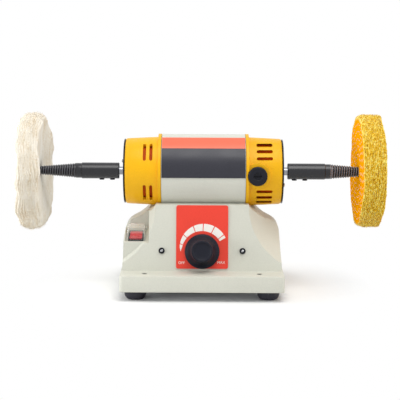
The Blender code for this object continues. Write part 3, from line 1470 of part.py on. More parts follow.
def make_spindles(axis):
    down = Matrix.Rotation(math.pi, 4, "X")
    top = SPINDLE_RADIUS + SET_SCREW_PROUD
    socket = SET_SCREW_RADIUS / 2
    for name, side in (("left", -1), ("right", 1)):
        spindle = put(turned(f"spindle_{name}", spindle_profile(), SMALL_STEPS), along_shaft(side))
        for row, distance in zip(("inner", "outer"), SET_SCREW_PLACES):
            place = SHAFT_AXIS @ Matrix.Translation((side * distance, 0, 0)) @ down
            hole = rod("set_screw_hole", SET_SCREW_RADIUS + SEAT_GAP, 0, top, SCREW_STEPS)
            cut(spindle, put(hole, place))
            start = SHAFT_END_RADIUS + SEAT_GAP
            screw = rod(f"set_screw_{name}_{row}", SET_SCREW_RADIUS, start, top, SCREW_STEPS)
            hexagon = rod("hexagon", socket, top - SET_SCREW_RADIUS, top + OVERRUN, 6)
            cut(put(screw, place), put(hexagon, place))
            keep(screw, "black_steel", axis)
        keep(spindle, "black_steel", axis)


# Wheels


def wheel_bore(start, end):
    """The bore's two corners, from the outer face back to the inner one."""
    return (crest_radius(end) + SEAT_GAP, end), (crest_radius(start) + SEAT_GAP, start)


def make_white_buff(axis):
    """Soft cotton discs that fan out into a thick, rounded rim."""
    start, end = WHITE_INNER_FACE, WHITE_OUTER_FACE
    outer_bore, inner_bore = wheel_bore(start, end)
    middle = (start + end) / 2
    half = (end - start) / 2
    hub = (HUB_DISC_RADIUS, half + HUB_DISC_STEP)
    side = [hub, (HUB_DISC_RADIUS, half)]
    for radius_share, bulge_share in WHITE_BULGE_shares:
        side.append((WHITE_RADIUS * radius_share, half + WHITE_BULGE * bulge_share))
    side += [(WHITE_RADIUS * 0.99, half * 0.72), (WHITE_RADIUS, half * 0.3)]
    profile = [(outer_bore[0], middle + half + HUB_DISC_STEP)]
    profile += [(radius, middle + height) for radius, height in side]
    profile += [(radius, middle - height) for radius, height in reversed(side[1:])]
    profile.append(inner_bore)
    buff = turned("white_buff", profile, BIG_STEPS, ring=True)
    keep(put(buff, along_shaft(-1)), "white_cotton", axis)


def make_yellow_buff(axis):
    """Stitched cloth discs: flatter, with a squarer rim."""
    start, end = YELLOW_INNER_FACE, YELLOW_OUTER_FACE
    outer_bore, inner_bore = wheel_bore(start, end)
    edge = YELLOW_EDGE
    profile = [
        (outer_bore[0], end + HUB_DISC_STEP),
        (HUB_DISC_RADIUS, end + HUB_DISC_STEP),
        (HUB_DISC_RADIUS, end),
        (YELLOW_RADIUS - 3 * edge, end),
        (YELLOW_RADIUS - edge / 2, end - edge / 2),
        (YELLOW_RADIUS, end - 2 * edge),
        (YELLOW_RADIUS, start + 2 * edge),
        (YELLOW_RADIUS - edge / 2, start + edge / 2),
        (YELLOW_RADIUS - 3 * edge, start),
        inner_bore,
    ]
    buff = turned("yellow_buff", profile, BIG_STEPS, ring=True)
    keep(put(buff, along_shaft(1)), "yellow_cotton", axis)


def main():
    shaft_axis = pivot("shaft_axis", SHAFT_AXIS)
    knob_axis = pivot("knob_axis", KNOB)
    rocker_place = at(SWITCH, out=SEAT_GAP + BEZEL_HEIGHT - ROCKER_PIVOT_DEPTH)
    rocker_axis = pivot("rocker_axis", rocker_place)

    make_housing()
    make_bottom_plate()
    make_feet()
    make_dial_plate()
    make_panel_screws()
    pot_floor = make_potentiometer()
    make_potentiometer_shaft(pot_floor, knob_axis)
    make_knob(knob_axis)
    make_control_board()
    make_switch_housing()
    make_rocker(rocker_axis, rocker_place)
    make_switch_cover()
    make_cord_gland()

    make_motor_tube()
    make_motor_bolts()
    make_nameplate()
    make_magnets()
    make_end_caps()
    make_end_plates()
    make_bearings(shaft_axis)
    make_brushes()

    make_shaft(shaft_axis)
    make_armature(shaft_axis)
    make_commutator(shaft_axis)
    make_fan(shaft_axis)
    make_spindles(shaft_axis)
    make_white_buff(shaft_axis)
    make_yellow_buff(shaft_axis)


main()
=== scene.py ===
import math
import random

import bmesh
import bpy
from mathutils import Matrix, Vector, noise


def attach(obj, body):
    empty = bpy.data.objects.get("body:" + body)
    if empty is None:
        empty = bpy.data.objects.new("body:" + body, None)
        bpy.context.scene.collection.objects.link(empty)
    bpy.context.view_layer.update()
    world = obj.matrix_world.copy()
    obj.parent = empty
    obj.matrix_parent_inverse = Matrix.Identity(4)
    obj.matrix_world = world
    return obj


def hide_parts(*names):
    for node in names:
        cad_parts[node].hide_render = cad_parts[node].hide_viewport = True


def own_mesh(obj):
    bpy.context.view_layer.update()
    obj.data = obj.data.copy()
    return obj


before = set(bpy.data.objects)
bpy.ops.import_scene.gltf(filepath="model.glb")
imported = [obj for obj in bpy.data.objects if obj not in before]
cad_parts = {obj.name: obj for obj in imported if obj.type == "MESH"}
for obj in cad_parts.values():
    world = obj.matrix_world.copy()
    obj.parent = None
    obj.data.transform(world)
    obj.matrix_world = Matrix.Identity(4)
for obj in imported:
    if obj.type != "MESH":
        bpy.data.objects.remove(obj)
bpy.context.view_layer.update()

# The looks of a small double-ended bench buffer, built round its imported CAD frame.
# Lengths are in metres, angles in degrees. X runs along the shaft, -Y is the front, Z is up.

SEED = 11

# Places that the solids fix
MOTOR_X = 0.00095
AXIS_Z = 0.117
ACROSS = (1.0, 0.0, 0.0)


def plane_frame(foot, up, out):
    """A matrix whose X runs across, Y up and Z out of a sloping face."""
    turn = Matrix((ACROSS, up, out)).transposed()
    return Matrix.Translation(foot) @ turn.to_4x4()


PANEL = plane_frame(foot=(0.0, -0.0475, 0.0254), up=(0.0, 0.20449, 0.97887),
                    out=(0.0, -0.97887, 0.20449))
POD = plane_frame(foot=(-0.065, -0.040, 0.0523), up=(0.0, 0.94552, 0.32557),
                  out=(0.0, -0.32557, 0.94552))


def put(name, data):
    """A new object in the scene."""
    made = bpy.data.objects.new(name, data)
    bpy.context.scene.collection.objects.link(made)
    return made


# Node materials

def srgb(red, green, blue):
    """The linear colour of an 8-bit one."""
    made = []
    for value in (red / 255, green / 255, blue / 255):
        low = value <= 0.04045
        made.append(value / 12.92 if low else ((value + 0.055) / 1.055) ** 2.4)
    return (*made, 1.0)


def shade(colour, factor):
    """A linear colour made lighter or darker."""
    return (*[min(channel * factor, 1.0) for channel in colour[:3]], 1.0)


class Finish:
    """A node material while it is being built."""

    def __init__(self, name):
        self.material = bpy.data.materials.new(name)
        self.material.use_nodes = True
        self.tree = self.material.node_tree
        self.shader = self.tree.nodes["Principled BSDF"]
        self.place = self.node("ShaderNodeTexCoord").outputs["Object"]

    def node(self, kind, inputs=None, **settings):
        """A new node, its inputs linked to sockets or set to plain values."""
        made = self.tree.nodes.new(kind)
        for key, value in settings.items():
            setattr(made, key, value)
        for key, value in (inputs or {}).items():
            self.feed(made.inputs[key], value)
        return made

    def feed(self, socket, value):
        if isinstance(value, bpy.types.NodeSocket):
            self.tree.links.new(value, socket)
        else:
            socket.default_value = value

    def set(self, **inputs):
        """Sets or links inputs of the shader, named with _ for a space."""
        for key, value in inputs.items():
            self.feed(self.shader.inputs[key.replace("_", " ")], value)

    def scaled(self, stretch):
        """The place, stretched by a factor along each axis."""
        return self.node("ShaderNodeMapping", {"Vector": self.place, "Scale": stretch}).outputs[0]

    def noise(self, scale, detail=3.0, rough=0.5, place=None, warp=0.0):
        inputs = {"Vector": place or self.place, "Scale": scale, "Detail": detail,
                  "Roughness": rough, "Distortion": warp}
        return self.node("ShaderNodeTexNoise", inputs).outputs["Fac"]

    def from_shaft(self, split):
        """How far a point is from the shaft's axis."""
        height = self.math("SUBTRACT", split.outputs["Z"], AXIS_Z)
        across = self.math("POWER", split.outputs["Y"], 2.0)
        return self.math("SQRT", self.math("ADD", across, self.math("POWER", height, 2.0)))

    def ramp(self, fac, *stops):
        """A colour ramp with the given (position, colour) stops."""
        made = self.node("ShaderNodeValToRGB", {"Fac": fac})
        points = made.color_ramp.elements
        for point, (position, colour) in zip(points, stops):
            point.position, point.color = position, colour
        for position, colour in stops[2:]:
            points.new(position).color = colour
        return made.outputs["Color"]

    def grey(self, fac, low, high, start=0.3, end=0.7):
        """A number from low to high, as fac goes from start to end."""
        inputs = {"Value": fac, "From Min": start, "From Max": end,
                  "To Min": low, "To Max": high}
        return self.node("ShaderNodeMapRange", inputs).outputs["Result"]

    def math(self, operation, first, second=0.0):
        return self.node("ShaderNodeMath", {0: first, 1: second}, operation=operation).outputs[0]

    def mix(self, fac, first, second, how="MIX"):
        inputs = {"Fac": fac, "Color1": first, "Color2": second}
        return self.node("ShaderNodeMixRGB", inputs, blend_type=how).outputs["Color"]

    def bump(self, height, depth, strength=1.0, normal=None):
        inputs = {"Height": height, "Distance": depth, "Strength": strength}
        if normal is not None:
            inputs["Normal"] = normal
        return self.node("ShaderNodeBump", inputs).outputs["Normal"]

    def rounded(self, radius):
        """The normal of the surface with its edges eased."""
        return self.node("ShaderNodeBevel", {"Radius": radius}, samples=4).outputs["Normal"]


def clouded(made, colour, spread, cloud, grain):
    """A colour with broad soft patches and a fine grain in it."""
    patches = made.ramp(made.noise(cloud), (0.3, shade(colour, 1 - spread)),
                        (0.7, shade(colour, 1 + spread)))
    specks = made.ramp(made.noise(grain, 2.0, 0.6), (0.25, (0.86, 0.86, 0.86, 1.0)),
                       (0.6, (1.0, 1.0, 1.0, 1.0)))
    return made.mix(0.55, patches, specks, "MULTIPLY")


def coated(name, colour, rough, spread, cloud, grain, peel, depth, edge, gloss):
    """Paint, plastic or rubber: mottled, slightly pebbled and eased at its edges."""
    made = Finish(name)
    made.set(Base_Color=clouded(made, colour, spread, cloud, grain), Specular_IOR_Level=gloss)
    patches = made.noise(cloud * 6, 4.0)
    made.set(Roughness=made.grey(patches, rough - 0.05, rough + 0.06))
    pebbles = made.noise(peel, 2.0, 0.45)
    made.set(Normal=made.bump(pebbles, depth, 1.0, made.rounded(edge)))
    return made.material


TOOL_LINES = 2200.0


def turned_metal(name, colour, rough, stretch):
    """Metal with the fine lines that its tool left."""
    made = Finish(name)
    lines = made.noise(TOOL_LINES, 3.0, 0.6, made.scaled(stretch))
    broad = made.noise(60.0, 3.0)
    base = made.ramp(broad, (0.3, shade(colour, 0.86)), (0.7, shade(colour, 1.1)))
    made.set(Base_Color=made.mix(0.25, base, made.ramp(lines, (0.3, shade(colour, 0.6)),
             (0.7, shade(colour, 1.25)))), Metallic=1.0)
    made.set(Roughness=made.grey(lines, rough - 0.07, rough + 0.1))
    made.set(Normal=made.bump(lines, 0.00002, 0.7, made.rounded(0.0002)))
    return made.material


CREAM = srgb(205, 205, 193)
GREY = srgb(206, 206, 195)
YELLOW = srgb(234, 175, 0)
DIAL_RED = srgb(228, 66, 50)
CORAL = srgb(230, 106, 78)
CHARCOAL = srgb(40, 40, 49)
BLACK = srgb(25, 26, 34)
KNOB_BLACK = srgb(18, 20, 32)
RUBBER = srgb(46, 45, 53)
OXIDE = srgb(22, 24, 34)
ROCKER_RED = srgb(205, 26, 44)
FERRITE = srgb(58, 56, 58)
CARBON = srgb(40, 40, 42)
# Orange of the painted shade and bounce light seen through the cap vents
INK_WHITE = srgb(238, 232, 224)
VENT_SHADE_ORANGE = srgb(206, 84, 8)
THREAD_PALE = srgb(250, 214, 190)
ORANGE_CLOTH = srgb(255, 164, 0)
# Pale grey of the painted highlight on the spindles' thread crests
CREST_HIGHLIGHT_GREY = srgb(112, 112, 120)

# Coated surfaces: colour, roughness, mottle, then the scales of its clouds, grain and pebbles, the
# pebbles' depth, the radius that edges are eased to, and gloss
COATINGS = {
    "cream_paint": (CREAM, 0.46, 0.018, 22.0, 1300.0, 650.0, 0.00005, 0.0008, 0.4),
    "grey_paint": (GREY, 0.42, 0.018, 26.0, 1300.0, 700.0, 0.00004, 0.0005, 0.4),
    "yellow_paint": (YELLOW, 0.42, 0.03, 30.0, 1200.0, 650.0, 0.00005, 0.0007, 0.28),
    "black_plastic": (BLACK, 0.45, 0.08, 60.0, 1800.0, 1500.0, 0.00003, 0.0004, 0.2),
    "black_rubber": (RUBBER, 0.62, 0.1, 80.0, 1600.0, 1200.0, 0.00005, 0.0008, 0.3),
    "red_plastic": (ROCKER_RED, 0.3, 0.03, 50.0, 1500.0, 1500.0, 0.00001, 0.0003, 0.25),
    "black_steel": (OXIDE, 0.22, 0.08, 90.0, 2200.0, 1800.0, 0.00001, 0.0003, 0.3),
    "ferrite": (FERRITE, 0.6, 0.1, 120.0, 1500.0, 900.0, 0.00008, 0.0004, 0.5),
    "carbon": (CARBON, 0.55, 0.12, 200.0, 1500.0, 1200.0, 0.00004, 0.0002, 0.5),
    "knob_plastic": (KNOB_BLACK, 0.48, 0.06, 70.0, 1800.0, 1500.0, 0.00003, 0.0002, 0.22),
    "dial_ink": (INK_WHITE, 0.5, 0.02, 200.0, 2600.0, 1800.0, 0.00001, 0.0001, 0.5),
    "vent_shade_sheet": (VENT_SHADE_ORANGE, 0.6, 0.12, 160.0, 1500.0, 900.0, 0.00006, 0.0003, 0.2),
    "stitch_thread": (THREAD_PALE, 0.85, 0.06, 300.0, 2600.0, 2400.0, 0.00006, 0.0005, 0.0),
}

# Bare metals: colour, roughness and how far the tool's lines are drawn out along each axis
METALS = {
    "zinc_steel": (srgb(190, 192, 194), 0.32, (1.0, 1.0, 1.0)),
    "bright_steel": (srgb(158, 160, 165), 0.26, (0.1, 1.0, 1.0)),
    "brass": (srgb(206, 168, 88), 0.3, (1.0, 1.0, 1.0)),
}
BAND_BORDER = math.radians(44.0)
BAND_BLUR = 0.004


def label_foil():
    """The bare two-tone nameplate: a coral band over charcoal, both in a clear film."""
    made = Finish("label_foil")
    split = made.node("ShaderNodeSeparateXYZ", {"Vector": made.place})
    height = made.math("SUBTRACT", split.outputs["Z"], AXIS_Z)
    forward = made.math("MULTIPLY", split.outputs["Y"], -1.0)
    angle = made.math("ARCTAN2", height, forward)
    upper = made.grey(angle, 0.0, 1.0, BAND_BORDER - BAND_BLUR, BAND_BORDER + BAND_BLUR)
    grain = made.noise(900.0, 2.0)
    dark = made.ramp(grain, (0.3, shade(CHARCOAL, 0.9)), (0.7, shade(CHARCOAL, 1.15)))
    bright = made.ramp(grain, (0.3, shade(CORAL, 0.96)), (0.7, shade(CORAL, 1.03)))
    made.set(Base_Color=made.mix(upper, dark, bright))
    made.set(Roughness=made.grey(made.noise(70.0, 4.0), 0.3, 0.42), Specular_IOR_Level=0.4)
    made.set(Normal=made.bump(made.noise(160.0, 2.0), 0.00004))
    return made.material


def dial_lacquer():
    """Red lacquer on the dial plate."""
    made = Finish("dial_red")
    made.set(Base_Color=clouded(made, DIAL_RED, 0.025, 40.0, 1500.0), Specular_IOR_Level=0.3)
    made.set(Roughness=made.grey(made.noise(140.0, 4.0), 0.36, 0.48))
    made.set(Normal=made.bump(made.noise(1200.0, 2.0), 0.00002, 1.0, made.rounded(0.0003)))
    return made.material


def fibre_board():
    made = Finish("board_green")
    weave = made.node("ShaderNodeTexWave", {"Vector": made.place, "Scale": 300.0,
                                            "Distortion": 1.5}).outputs["Fac"]
    made.set(Base_Color=made.ramp(weave, (0.2, srgb(24, 78, 44)), (0.8, srgb(38, 104, 60))))
    made.set(Roughness=made.grey(weave, 0.35, 0.5), Normal=made.bump(weave, 0.00003))
    return made.material


def wound_copper():
    """Enamelled wire laid along the armature, its ends crossing."""
    made = Finish("copper")
    place = made.scaled((120.0, 1400.0, 1400.0))
    wires = made.noise(1.0, 2.0, 0.5, place)
    made.set(Base_Color=made.ramp(wires, (0.3, srgb(118, 48, 18)), (0.7, srgb(214, 118, 60))))
    made.set(Metallic=0.85, Roughness=made.grey(wires, 0.28, 0.45))
    made.set(Normal=made.bump(wires, 0.0002))
    return made.material


def clear_shell():
    """The switch cover's thin clear plastic: nearly open face on, brighter towards its edges."""
    made = Finish("clear_plastic")
    haze = made.noise(220.0, 3.0)
    made.set(Base_Color=made.ramp(haze, (0.3, srgb(232, 234, 230)), (0.7, srgb(248, 249, 246))))
    made.set(Roughness=made.grey(haze, 0.08, 0.18), Specular_IOR_Level=0.8)
    slant = made.node("ShaderNodeLayerWeight", {"Blend": 0.35}).outputs["Facing"]
    made.set(Alpha=made.grey(slant, 0.04, 0.6, 0.2, 0.85))
    made.set(Normal=made.bump(haze, 0.00003))
    return made.material


def make_finishes():
    """A node material for each of the record's slots, and a few more for the scene's pieces."""
    finishes = {name: coated(name, *values) for name, values in COATINGS.items()}
    finishes.update({name: turned_metal(name, *values) for name, values in METALS.items()})
    finishes["dial_red"] = dial_lacquer()
    finishes["label_foil"] = label_foil()
    finishes["clear_plastic"] = clear_shell()
    finishes["board_green"] = fibre_board()
    finishes["copper"] = wound_copper()
    return finishes


# The frame's own nodes

FLAT_EDGE = 32.0
WELD = 0.000002


def smoothing_group():
    """A node group that joins a solid's faces and rounds its shading up to an angle."""
    group = bpy.data.node_groups.new("smooth_by_angle", "GeometryNodeTree")
    for way in ("INPUT", "OUTPUT"):
        group.interface.new_socket("Geometry", in_out=way, socket_type="NodeSocketGeometry")
    start = group.nodes.new("NodeGroupInput")
    joined = group.nodes.new("GeometryNodeMergeByDistance")
    joined.inputs["Distance"].default_value = WELD
    plain = group.nodes.new("GeometryNodeRemoveAttribute")
    plain.inputs["Name"].default_value = "custom_normal"
    faces = group.nodes.new("GeometryNodeSetShadeSmooth")
    faces.domain = "FACE"
    angle = group.nodes.new("GeometryNodeInputMeshEdgeAngle")
    limit = group.nodes.new("FunctionNodeCompare")
    limit.data_type, limit.operation = "FLOAT", "GREATER_THAN"
    limit.inputs[1].default_value = math.radians(FLAT_EDGE)
    edges = group.nodes.new("GeometryNodeSetShadeSmooth")
    edges.domain = "EDGE"
    edges.inputs["Shade Smooth"].default_value = False
    end = group.nodes.new("NodeGroupOutput")
    for source, target in ((start.outputs[0], joined.inputs[0]), (joined.outputs[0], plain.inputs[0]),
                           (plain.outputs[0], faces.inputs[0]), (faces.outputs[0], edges.inputs[0]),
                           (angle.outputs["Unsigned Angle"], limit.inputs[0]),
                           (limit.outputs[0], edges.inputs["Selection"]),
                           (edges.outputs[0], end.inputs[0])):
        group.links.new(source, target)
    return group


def dress_frame(finishes):
    """Gives each CAD node its node material and smooth shading."""
    group = smoothing_group()
    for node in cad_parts.values():
        for place, old in enumerate(node.data.materials):
            node.data.materials[place] = finishes.get(old.name.split(".")[0], old)
        smooth = node.modifiers.new("smooth", "NODES")
        smooth.node_group = group


# Mesh helpers

def add_piece(name, vertices, faces, material, body, replaced=(), flat_edge=40.0):
    """A new mesh in the shared frame that rides on a body and may stand for CAD nodes."""
    mesh = bpy.data.meshes.new(name)
    mesh.from_pydata(vertices, [], faces)
    mesh.validate()
    mesh.materials.append(material)
    piece = put(name, mesh)
    shape = bmesh.new()
    shape.from_mesh(mesh)
    bmesh.ops.recalc_face_normals(shape, faces=shape.faces)
    for face in shape.faces:
        face.smooth = True
    for edge in shape.edges:
        wide = len(edge.link_faces) == 2 and edge.calc_face_angle(0.0) > math.radians(flat_edge)
        edge.smooth = not wide
    shape.to_mesh(mesh)
    shape.free()
    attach(piece, body)
    if replaced:
        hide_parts(*replaced)
    return piece


def ring_faces(first, second, steps):
    """Quads between two closed rings of points."""
    return [(first + i, first + (i + 1) % steps, second + (i + 1) % steps, second + i)
            for i in range(steps)]


def turned(profile, frame_matrix, steps, vary=None):
    """A (radius, height) profile turned about a frame's Z. vary() may alter it at an angle."""
    vertices, faces = [], []
    for row, (radius, height) in enumerate(profile):
        for step in range(steps):
            angle = math.tau * step / steps
            r, h = vary(angle, radius, height) if vary else (radius, height)
            vertices.append(frame_matrix @ Vector((r * math.cos(angle), r * math.sin(angle), h)))
        if row:
            faces += ring_faces((row - 1) * steps, row * steps, steps)
    for row, (radius, height) in ((0, profile[0]), (len(profile) - 1, profile[-1])):
        centre = len(vertices)
        vertices.append(frame_matrix @ Vector((0.0, 0.0, height)))
        start = row * steps
        faces += [(start + i, start + (i + 1) % steps, centre) for i in range(steps)]
    return vertices, faces


def merge(*parts):
    """Several (vertices, faces) lists as one."""
    vertices, faces = [], []
    for some_vertices, some_faces in parts:
        start = len(vertices)
        vertices += some_vertices
        faces += [tuple(start + i for i in face) for face in some_faces]
    return vertices, faces


# The two cloth wheels

AXLE = Vector((MOTOR_X, 0.0, AXIS_Z))


def on_wheel(radius, angle, reach, side):
    """The point at a radius and angle about the shaft, and a distance out from the motor's middle."""
    return AXLE + Vector((side * reach, radius * math.cos(angle), radius * math.sin(angle)))


def wave(angle, speed, row, salt):
    """Smooth noise from -1 to 1 that closes on itself round a wheel."""
    return noise.noise(Vector((math.cos(angle) * speed, math.sin(angle) * speed, row + salt * 7.3)))


class WheelShape:
    """The sizes of one wheel, and how lumpy, wavy, worn, gathered and frayed its cloth is."""

    def __init__(self, **sizes):
        for name, value in sizes.items():
            setattr(self, name, value)
        self.middle = (self.inner + self.outer) / 2
        self.half = (self.outer - self.inner) / 2

    def rim(self, layer, angle):
        """The radius of a layer at an angle."""
        share = abs(2 * layer / (self.layers - 1) - 1)
        worn = self.shoulder * share**5
        lump = self.lumps * wave(angle, 1.6, 3.0, self.salt)
        tatter = self.lumps * 0.4 * wave(angle, 4.5, layer * 0.25, self.salt)
        return self.radius - worn + lump + tatter - self.lumps * 0.5

    def reach(self, layer, angle, part):
        """How far out along the shaft a layer lies, part of the way to its rim."""
        place = (2 * layer / (self.layers - 1) - 1) * self.half
        near = place * (1.0 - self.pinch + self.pinch * part)
        broad = wave(angle, 1.6, layer * 0.08, self.salt + 1)
        small = wave(angle, 4.0, layer * 0.22, self.salt + 2)
        return self.middle + near + self.sway * (broad + 0.7 * small) * part**3


HOLE_RADIUS = 0.0036
FRAYED_FROM = 0.9


def layer_disc(shape, layer, rng, quilt=None):
    """One cloth disc of a wheel, both its faces and its frayed rim."""
    outside = layer in (0, shape.layers - 1)
    parts = shape.face_parts if outside else shape.inner_parts
    vertices, faces = [], []
    rows = [(part, 0.5) for part in parts] + [(1.0, 0.0)] + [(part, -0.5) for part in reversed(parts)]
    for part, lift in rows:
        for step in range(shape.steps):
            angle = math.tau * step / shape.steps
            rim = shape.rim(layer, angle)
            radius = HOLE_RADIUS + (rim - HOLE_RADIUS) * part
            swell = lift * shape.cloth
            if part > FRAYED_FROM:
                radius += rng.uniform(-shape.fray, shape.fray)
                swell += rng.uniform(-shape.fray, shape.fray) * 0.5
            pressed = quilt(radius) * lift * 2 if quilt and outside else 0.0
            reach = shape.reach(layer, angle, part) + swell - pressed
            vertices.append(on_wheel(radius, angle, reach, shape.side))
    for row in range(len(rows) - 1):
        faces += ring_faces(row * shape.steps, (row + 1) * shape.steps, shape.steps)
    faces += ring_faces((len(rows) - 1) * shape.steps, 0, shape.steps)
    return vertices, faces


FIBRE_COUNT = 9000
FIBRE_SPREAD = 0.9


def fibres(shape, rng, length, thickness, face_share):
    """Loose threads that stand off the rim and the faces, as thin bent ribbons."""
    vertices, faces = [], []
    for _ in range(FIBRE_COUNT):
        angle = rng.uniform(0.0, math.tau)
        on_face = rng.random() < face_share
        layer = rng.choice((0, shape.layers - 1)) if on_face else rng.randrange(shape.layers)
        part = rng.uniform(0.3, 1.0) ** 0.5 if on_face else 1.0
        rim = shape.rim(layer, angle)
        root = on_wheel(HOLE_RADIUS + (rim - HOLE_RADIUS) * part, angle,
                        shape.reach(layer, angle, part), shape.side)
        away = Vector((0.0, math.cos(angle), math.sin(angle)))
        round_way = Vector((0.0, -math.sin(angle), math.cos(angle)))
        axial = Vector((shape.side * (1.0 if layer else -1.0), 0.0, 0.0))
        lead = away * (0.25 if on_face else 1.0) + axial * (0.6 if on_face else rng.uniform(-0.4, 0.4))
        lead += round_way * rng.uniform(-FIBRE_SPREAD, FIBRE_SPREAD)
        curl = (round_way * rng.uniform(-1, 1) + axial * rng.uniform(-0.6, 0.6) - away * 0.4) * 0.6
        reach = length * rng.uniform(0.4, 1.0)
        across = round_way.cross(lead).normalized() if rng.random() < 0.5 else round_way
        start = len(vertices)
        for step in range(4):
            along = step / 3
            point = root + lead * reach * along + curl * reach * along**2 - lead * reach * 0.15
            side = across * thickness * (1 - 0.7 * along)
            vertices += [point - side, point + side]
        faces += [(i, i + 1, i + 3, i + 2) for i in range(start, start + 6, 2)]
    return vertices, faces


def cotton(name, pale, mid, deep, streak, fine, rough_depth, round_scale=45.0):
    """Soft cloth seen on its cut edges: streaks that follow the layers, darker in the relief's low parts
    as painted shade, and loose fibre.
    """
    made = Finish(name)
    layers = made.noise(1.0, 3.0, 0.6, made.scaled((streak, round_scale, round_scale)), 0.4)
    patches = made.noise(38.0, 4.0, 0.6)
    fuzz = made.noise(fine, 2.0, 0.7)
    height = made.math("ADD", made.math("MULTIPLY", layers, 0.6), made.math("MULTIPLY", fuzz, 0.4))
    # Deep beige in the low parts of the relief is painted shade; the pale is the cloth's own colour.
    ground = made.ramp(height, (0.36, deep), (0.47, mid), (0.62, pale))
    tint = made.ramp(patches, (0.35, shade(mid, 0.93)), (0.62, (1.0, 1.0, 1.0, 1.0)))
    made.set(Base_Color=made.mix(0.5, ground, tint, "MULTIPLY"))
    made.set(Roughness=made.grey(fuzz, 0.88, 1.0), IOR=1.0)
    made.set(Sheen_Weight=0.1, Sheen_Roughness=0.6)
    made.set(Normal=made.bump(height, rough_depth))
    return made.material


WHITE_SHAPE = WheelShape(
    side=-1.0, radius=0.0590, inner=0.1596, outer=0.1798, layers=12, cloth=0.0036, steps=180,
    lumps=0.0026, sway=0.0040, shoulder=0.0030, pinch=0.5, fray=0.00025, salt=4.0,
    face_parts=(0.0, 0.2, 0.35, 0.5, 0.62, 0.72, 0.8, 0.87, 0.93, 0.975),
    inner_parts=(0.0, 0.6, 0.8, 0.9, 0.96))


def make_white_wheel():
    """Loose white cotton discs with tattered, wavy edges."""
    rng = random.Random(SEED)
    cloth = cotton("white_cotton", srgb(244, 239, 229), srgb(238, 230, 215), srgb(222, 206, 180),
                   300.0, 520.0, 0.0007)
    discs = [layer_disc(WHITE_SHAPE, layer, rng) for layer in range(WHITE_SHAPE.layers)]
    discs.append(fibres(WHITE_SHAPE, rng, length=0.0034, thickness=0.00008, face_share=0.35))
    vertices, faces = merge(*discs)
    wheel = add_piece("white_wheel", vertices, faces, cloth, "rotor",
                      ("white_buff",), 180.0)


YELLOW_SHAPE = WheelShape(
    side=1.0, radius=0.0564, inner=0.1540, outer=0.1744, layers=14, cloth=0.0016, steps=260,
    lumps=0.0030, sway=0.0013, shoulder=0.0007, pinch=0.15, fray=0.0004, salt=9.0,
    face_parts=[0.0] + [share / 46 for share in range(4, 44)] + [0.965, 0.985],
    inner_parts=(0.0, 0.88, 0.94, 0.98))
STITCH_RADII = (0.0180, 0.0255, 0.0330, 0.0405, 0.0475)
STITCH_PITCH = 0.0070
STITCH_SHARE = 0.6
STITCH_THICK = 0.0004
STITCH_DEPTH = 0.0006
STITCH_WIDTH = 0.0011


def quilted(radius):
    """How far the stitching draws a face in, at a radius."""
    return sum(STITCH_DEPTH * math.exp(-((radius - ring) / STITCH_WIDTH) ** 2) for ring in STITCH_RADII)


def stitch(root, along, out):
    """One thread stitch: a short bead, flat where it dives into the cloth."""
    vertices, faces = [], []
    width = along.cross(out).normalized()
    for step in range(5):
        share = step / 4 - 0.5
        girth = STITCH_THICK * math.cos(share * math.pi * 0.9)
        centre = root + along * share * STITCH_PITCH * STITCH_SHARE + out * girth * 0.7
        for turn in range(6):
            angle = math.tau * turn / 6
            vertices.append(centre + width * math.cos(angle) * girth + out * math.sin(angle) * girth)
        if step:
            faces += ring_faces((step - 1) * 6, step * 6, 6)
    return vertices, faces


def make_stitches(rng, thread):
    """Rings of pale thread on both faces of the yellow wheel."""
    beads = []
    for layer, way in ((0, -1.0), (YELLOW_SHAPE.layers - 1, 1.0)):
        out = Vector((YELLOW_SHAPE.side * way, 0.0, 0.0))
        for ring in STITCH_RADII:
            count = int(math.tau * ring / STITCH_PITCH)
            turn = rng.uniform(0.0, 1.0)
            for place in range(count):
                angle = math.tau * (place + turn + rng.uniform(-0.12, 0.12)) / count
                radius = ring + rng.uniform(-0.0005, 0.0005)
                part = radius / YELLOW_SHAPE.radius
                proud = way * (YELLOW_SHAPE.cloth / 2 - STITCH_DEPTH)
                reach = YELLOW_SHAPE.reach(layer, angle, part) + proud
                root = on_wheel(radius, angle, reach, YELLOW_SHAPE.side)
                along = Vector((0.0, -math.sin(angle), math.cos(angle)))
                beads.append(stitch(root, along, out))
    vertices, faces = merge(*beads)
    add_piece("yellow_wheel_stitches", vertices, faces, thread, "rotor", (), 180.0)


def terry(name):
    """The yellow wheel's cloth: pale tufts over deep gold on the rim, as painted highlight on the raised
    tufts and painted shade in the hollows over the pile's yellow, smooth orange on the faces.
    """
    made = Finish(name)
    radius = made.from_shaft(made.node("ShaderNodeSeparateXYZ", {"Vector": made.place}))
    tufts = made.noise(520.0, 3.0, 0.7, None, 0.3)
    rows = made.noise(1.0, 2.0, 0.6, made.scaled((760.0, 260.0, 260.0)))
    fleck = made.math("ADD", made.math("MULTIPLY", tufts, 0.5), made.math("MULTIPLY", rows, 0.5))
    # Pale on the raised tufts and deep gold between them: painted highlight and painted shade over the
    # pile's own yellow.
    rim = made.ramp(fleck, (0.38, srgb(192, 140, 4)), (0.48, srgb(235, 193, 28)),
                    (0.6, srgb(252, 238, 134)))
    weave = made.noise(1400.0, 2.0, 0.6)
    patches = made.ramp(made.noise(90.0, 3.0), (0.35, shade(ORANGE_CLOTH, 0.86)),
                        (0.65, shade(ORANGE_CLOTH, 1.05)))
    face = made.mix(0.35, patches, made.ramp(weave, (0.35, srgb(214, 118, 2)),
                                             (0.65, srgb(255, 184, 26))))
    edge = made.grey(radius, 0.0, 1.0, 0.0515, 0.0532)
    made.set(Base_Color=made.mix(edge, face, rim))
    made.set(Roughness=made.grey(tufts, 0.85, 1.0), IOR=1.0)
    made.set(Sheen_Weight=made.math("MULTIPLY", edge, 0.35), Sheen_Roughness=0.4)
    relief = made.math("ADD", made.math("MULTIPLY", fleck, edge), made.math("MULTIPLY", weave, 0.12))
    made.set(Normal=made.bump(relief, 0.0009))
    return made.material


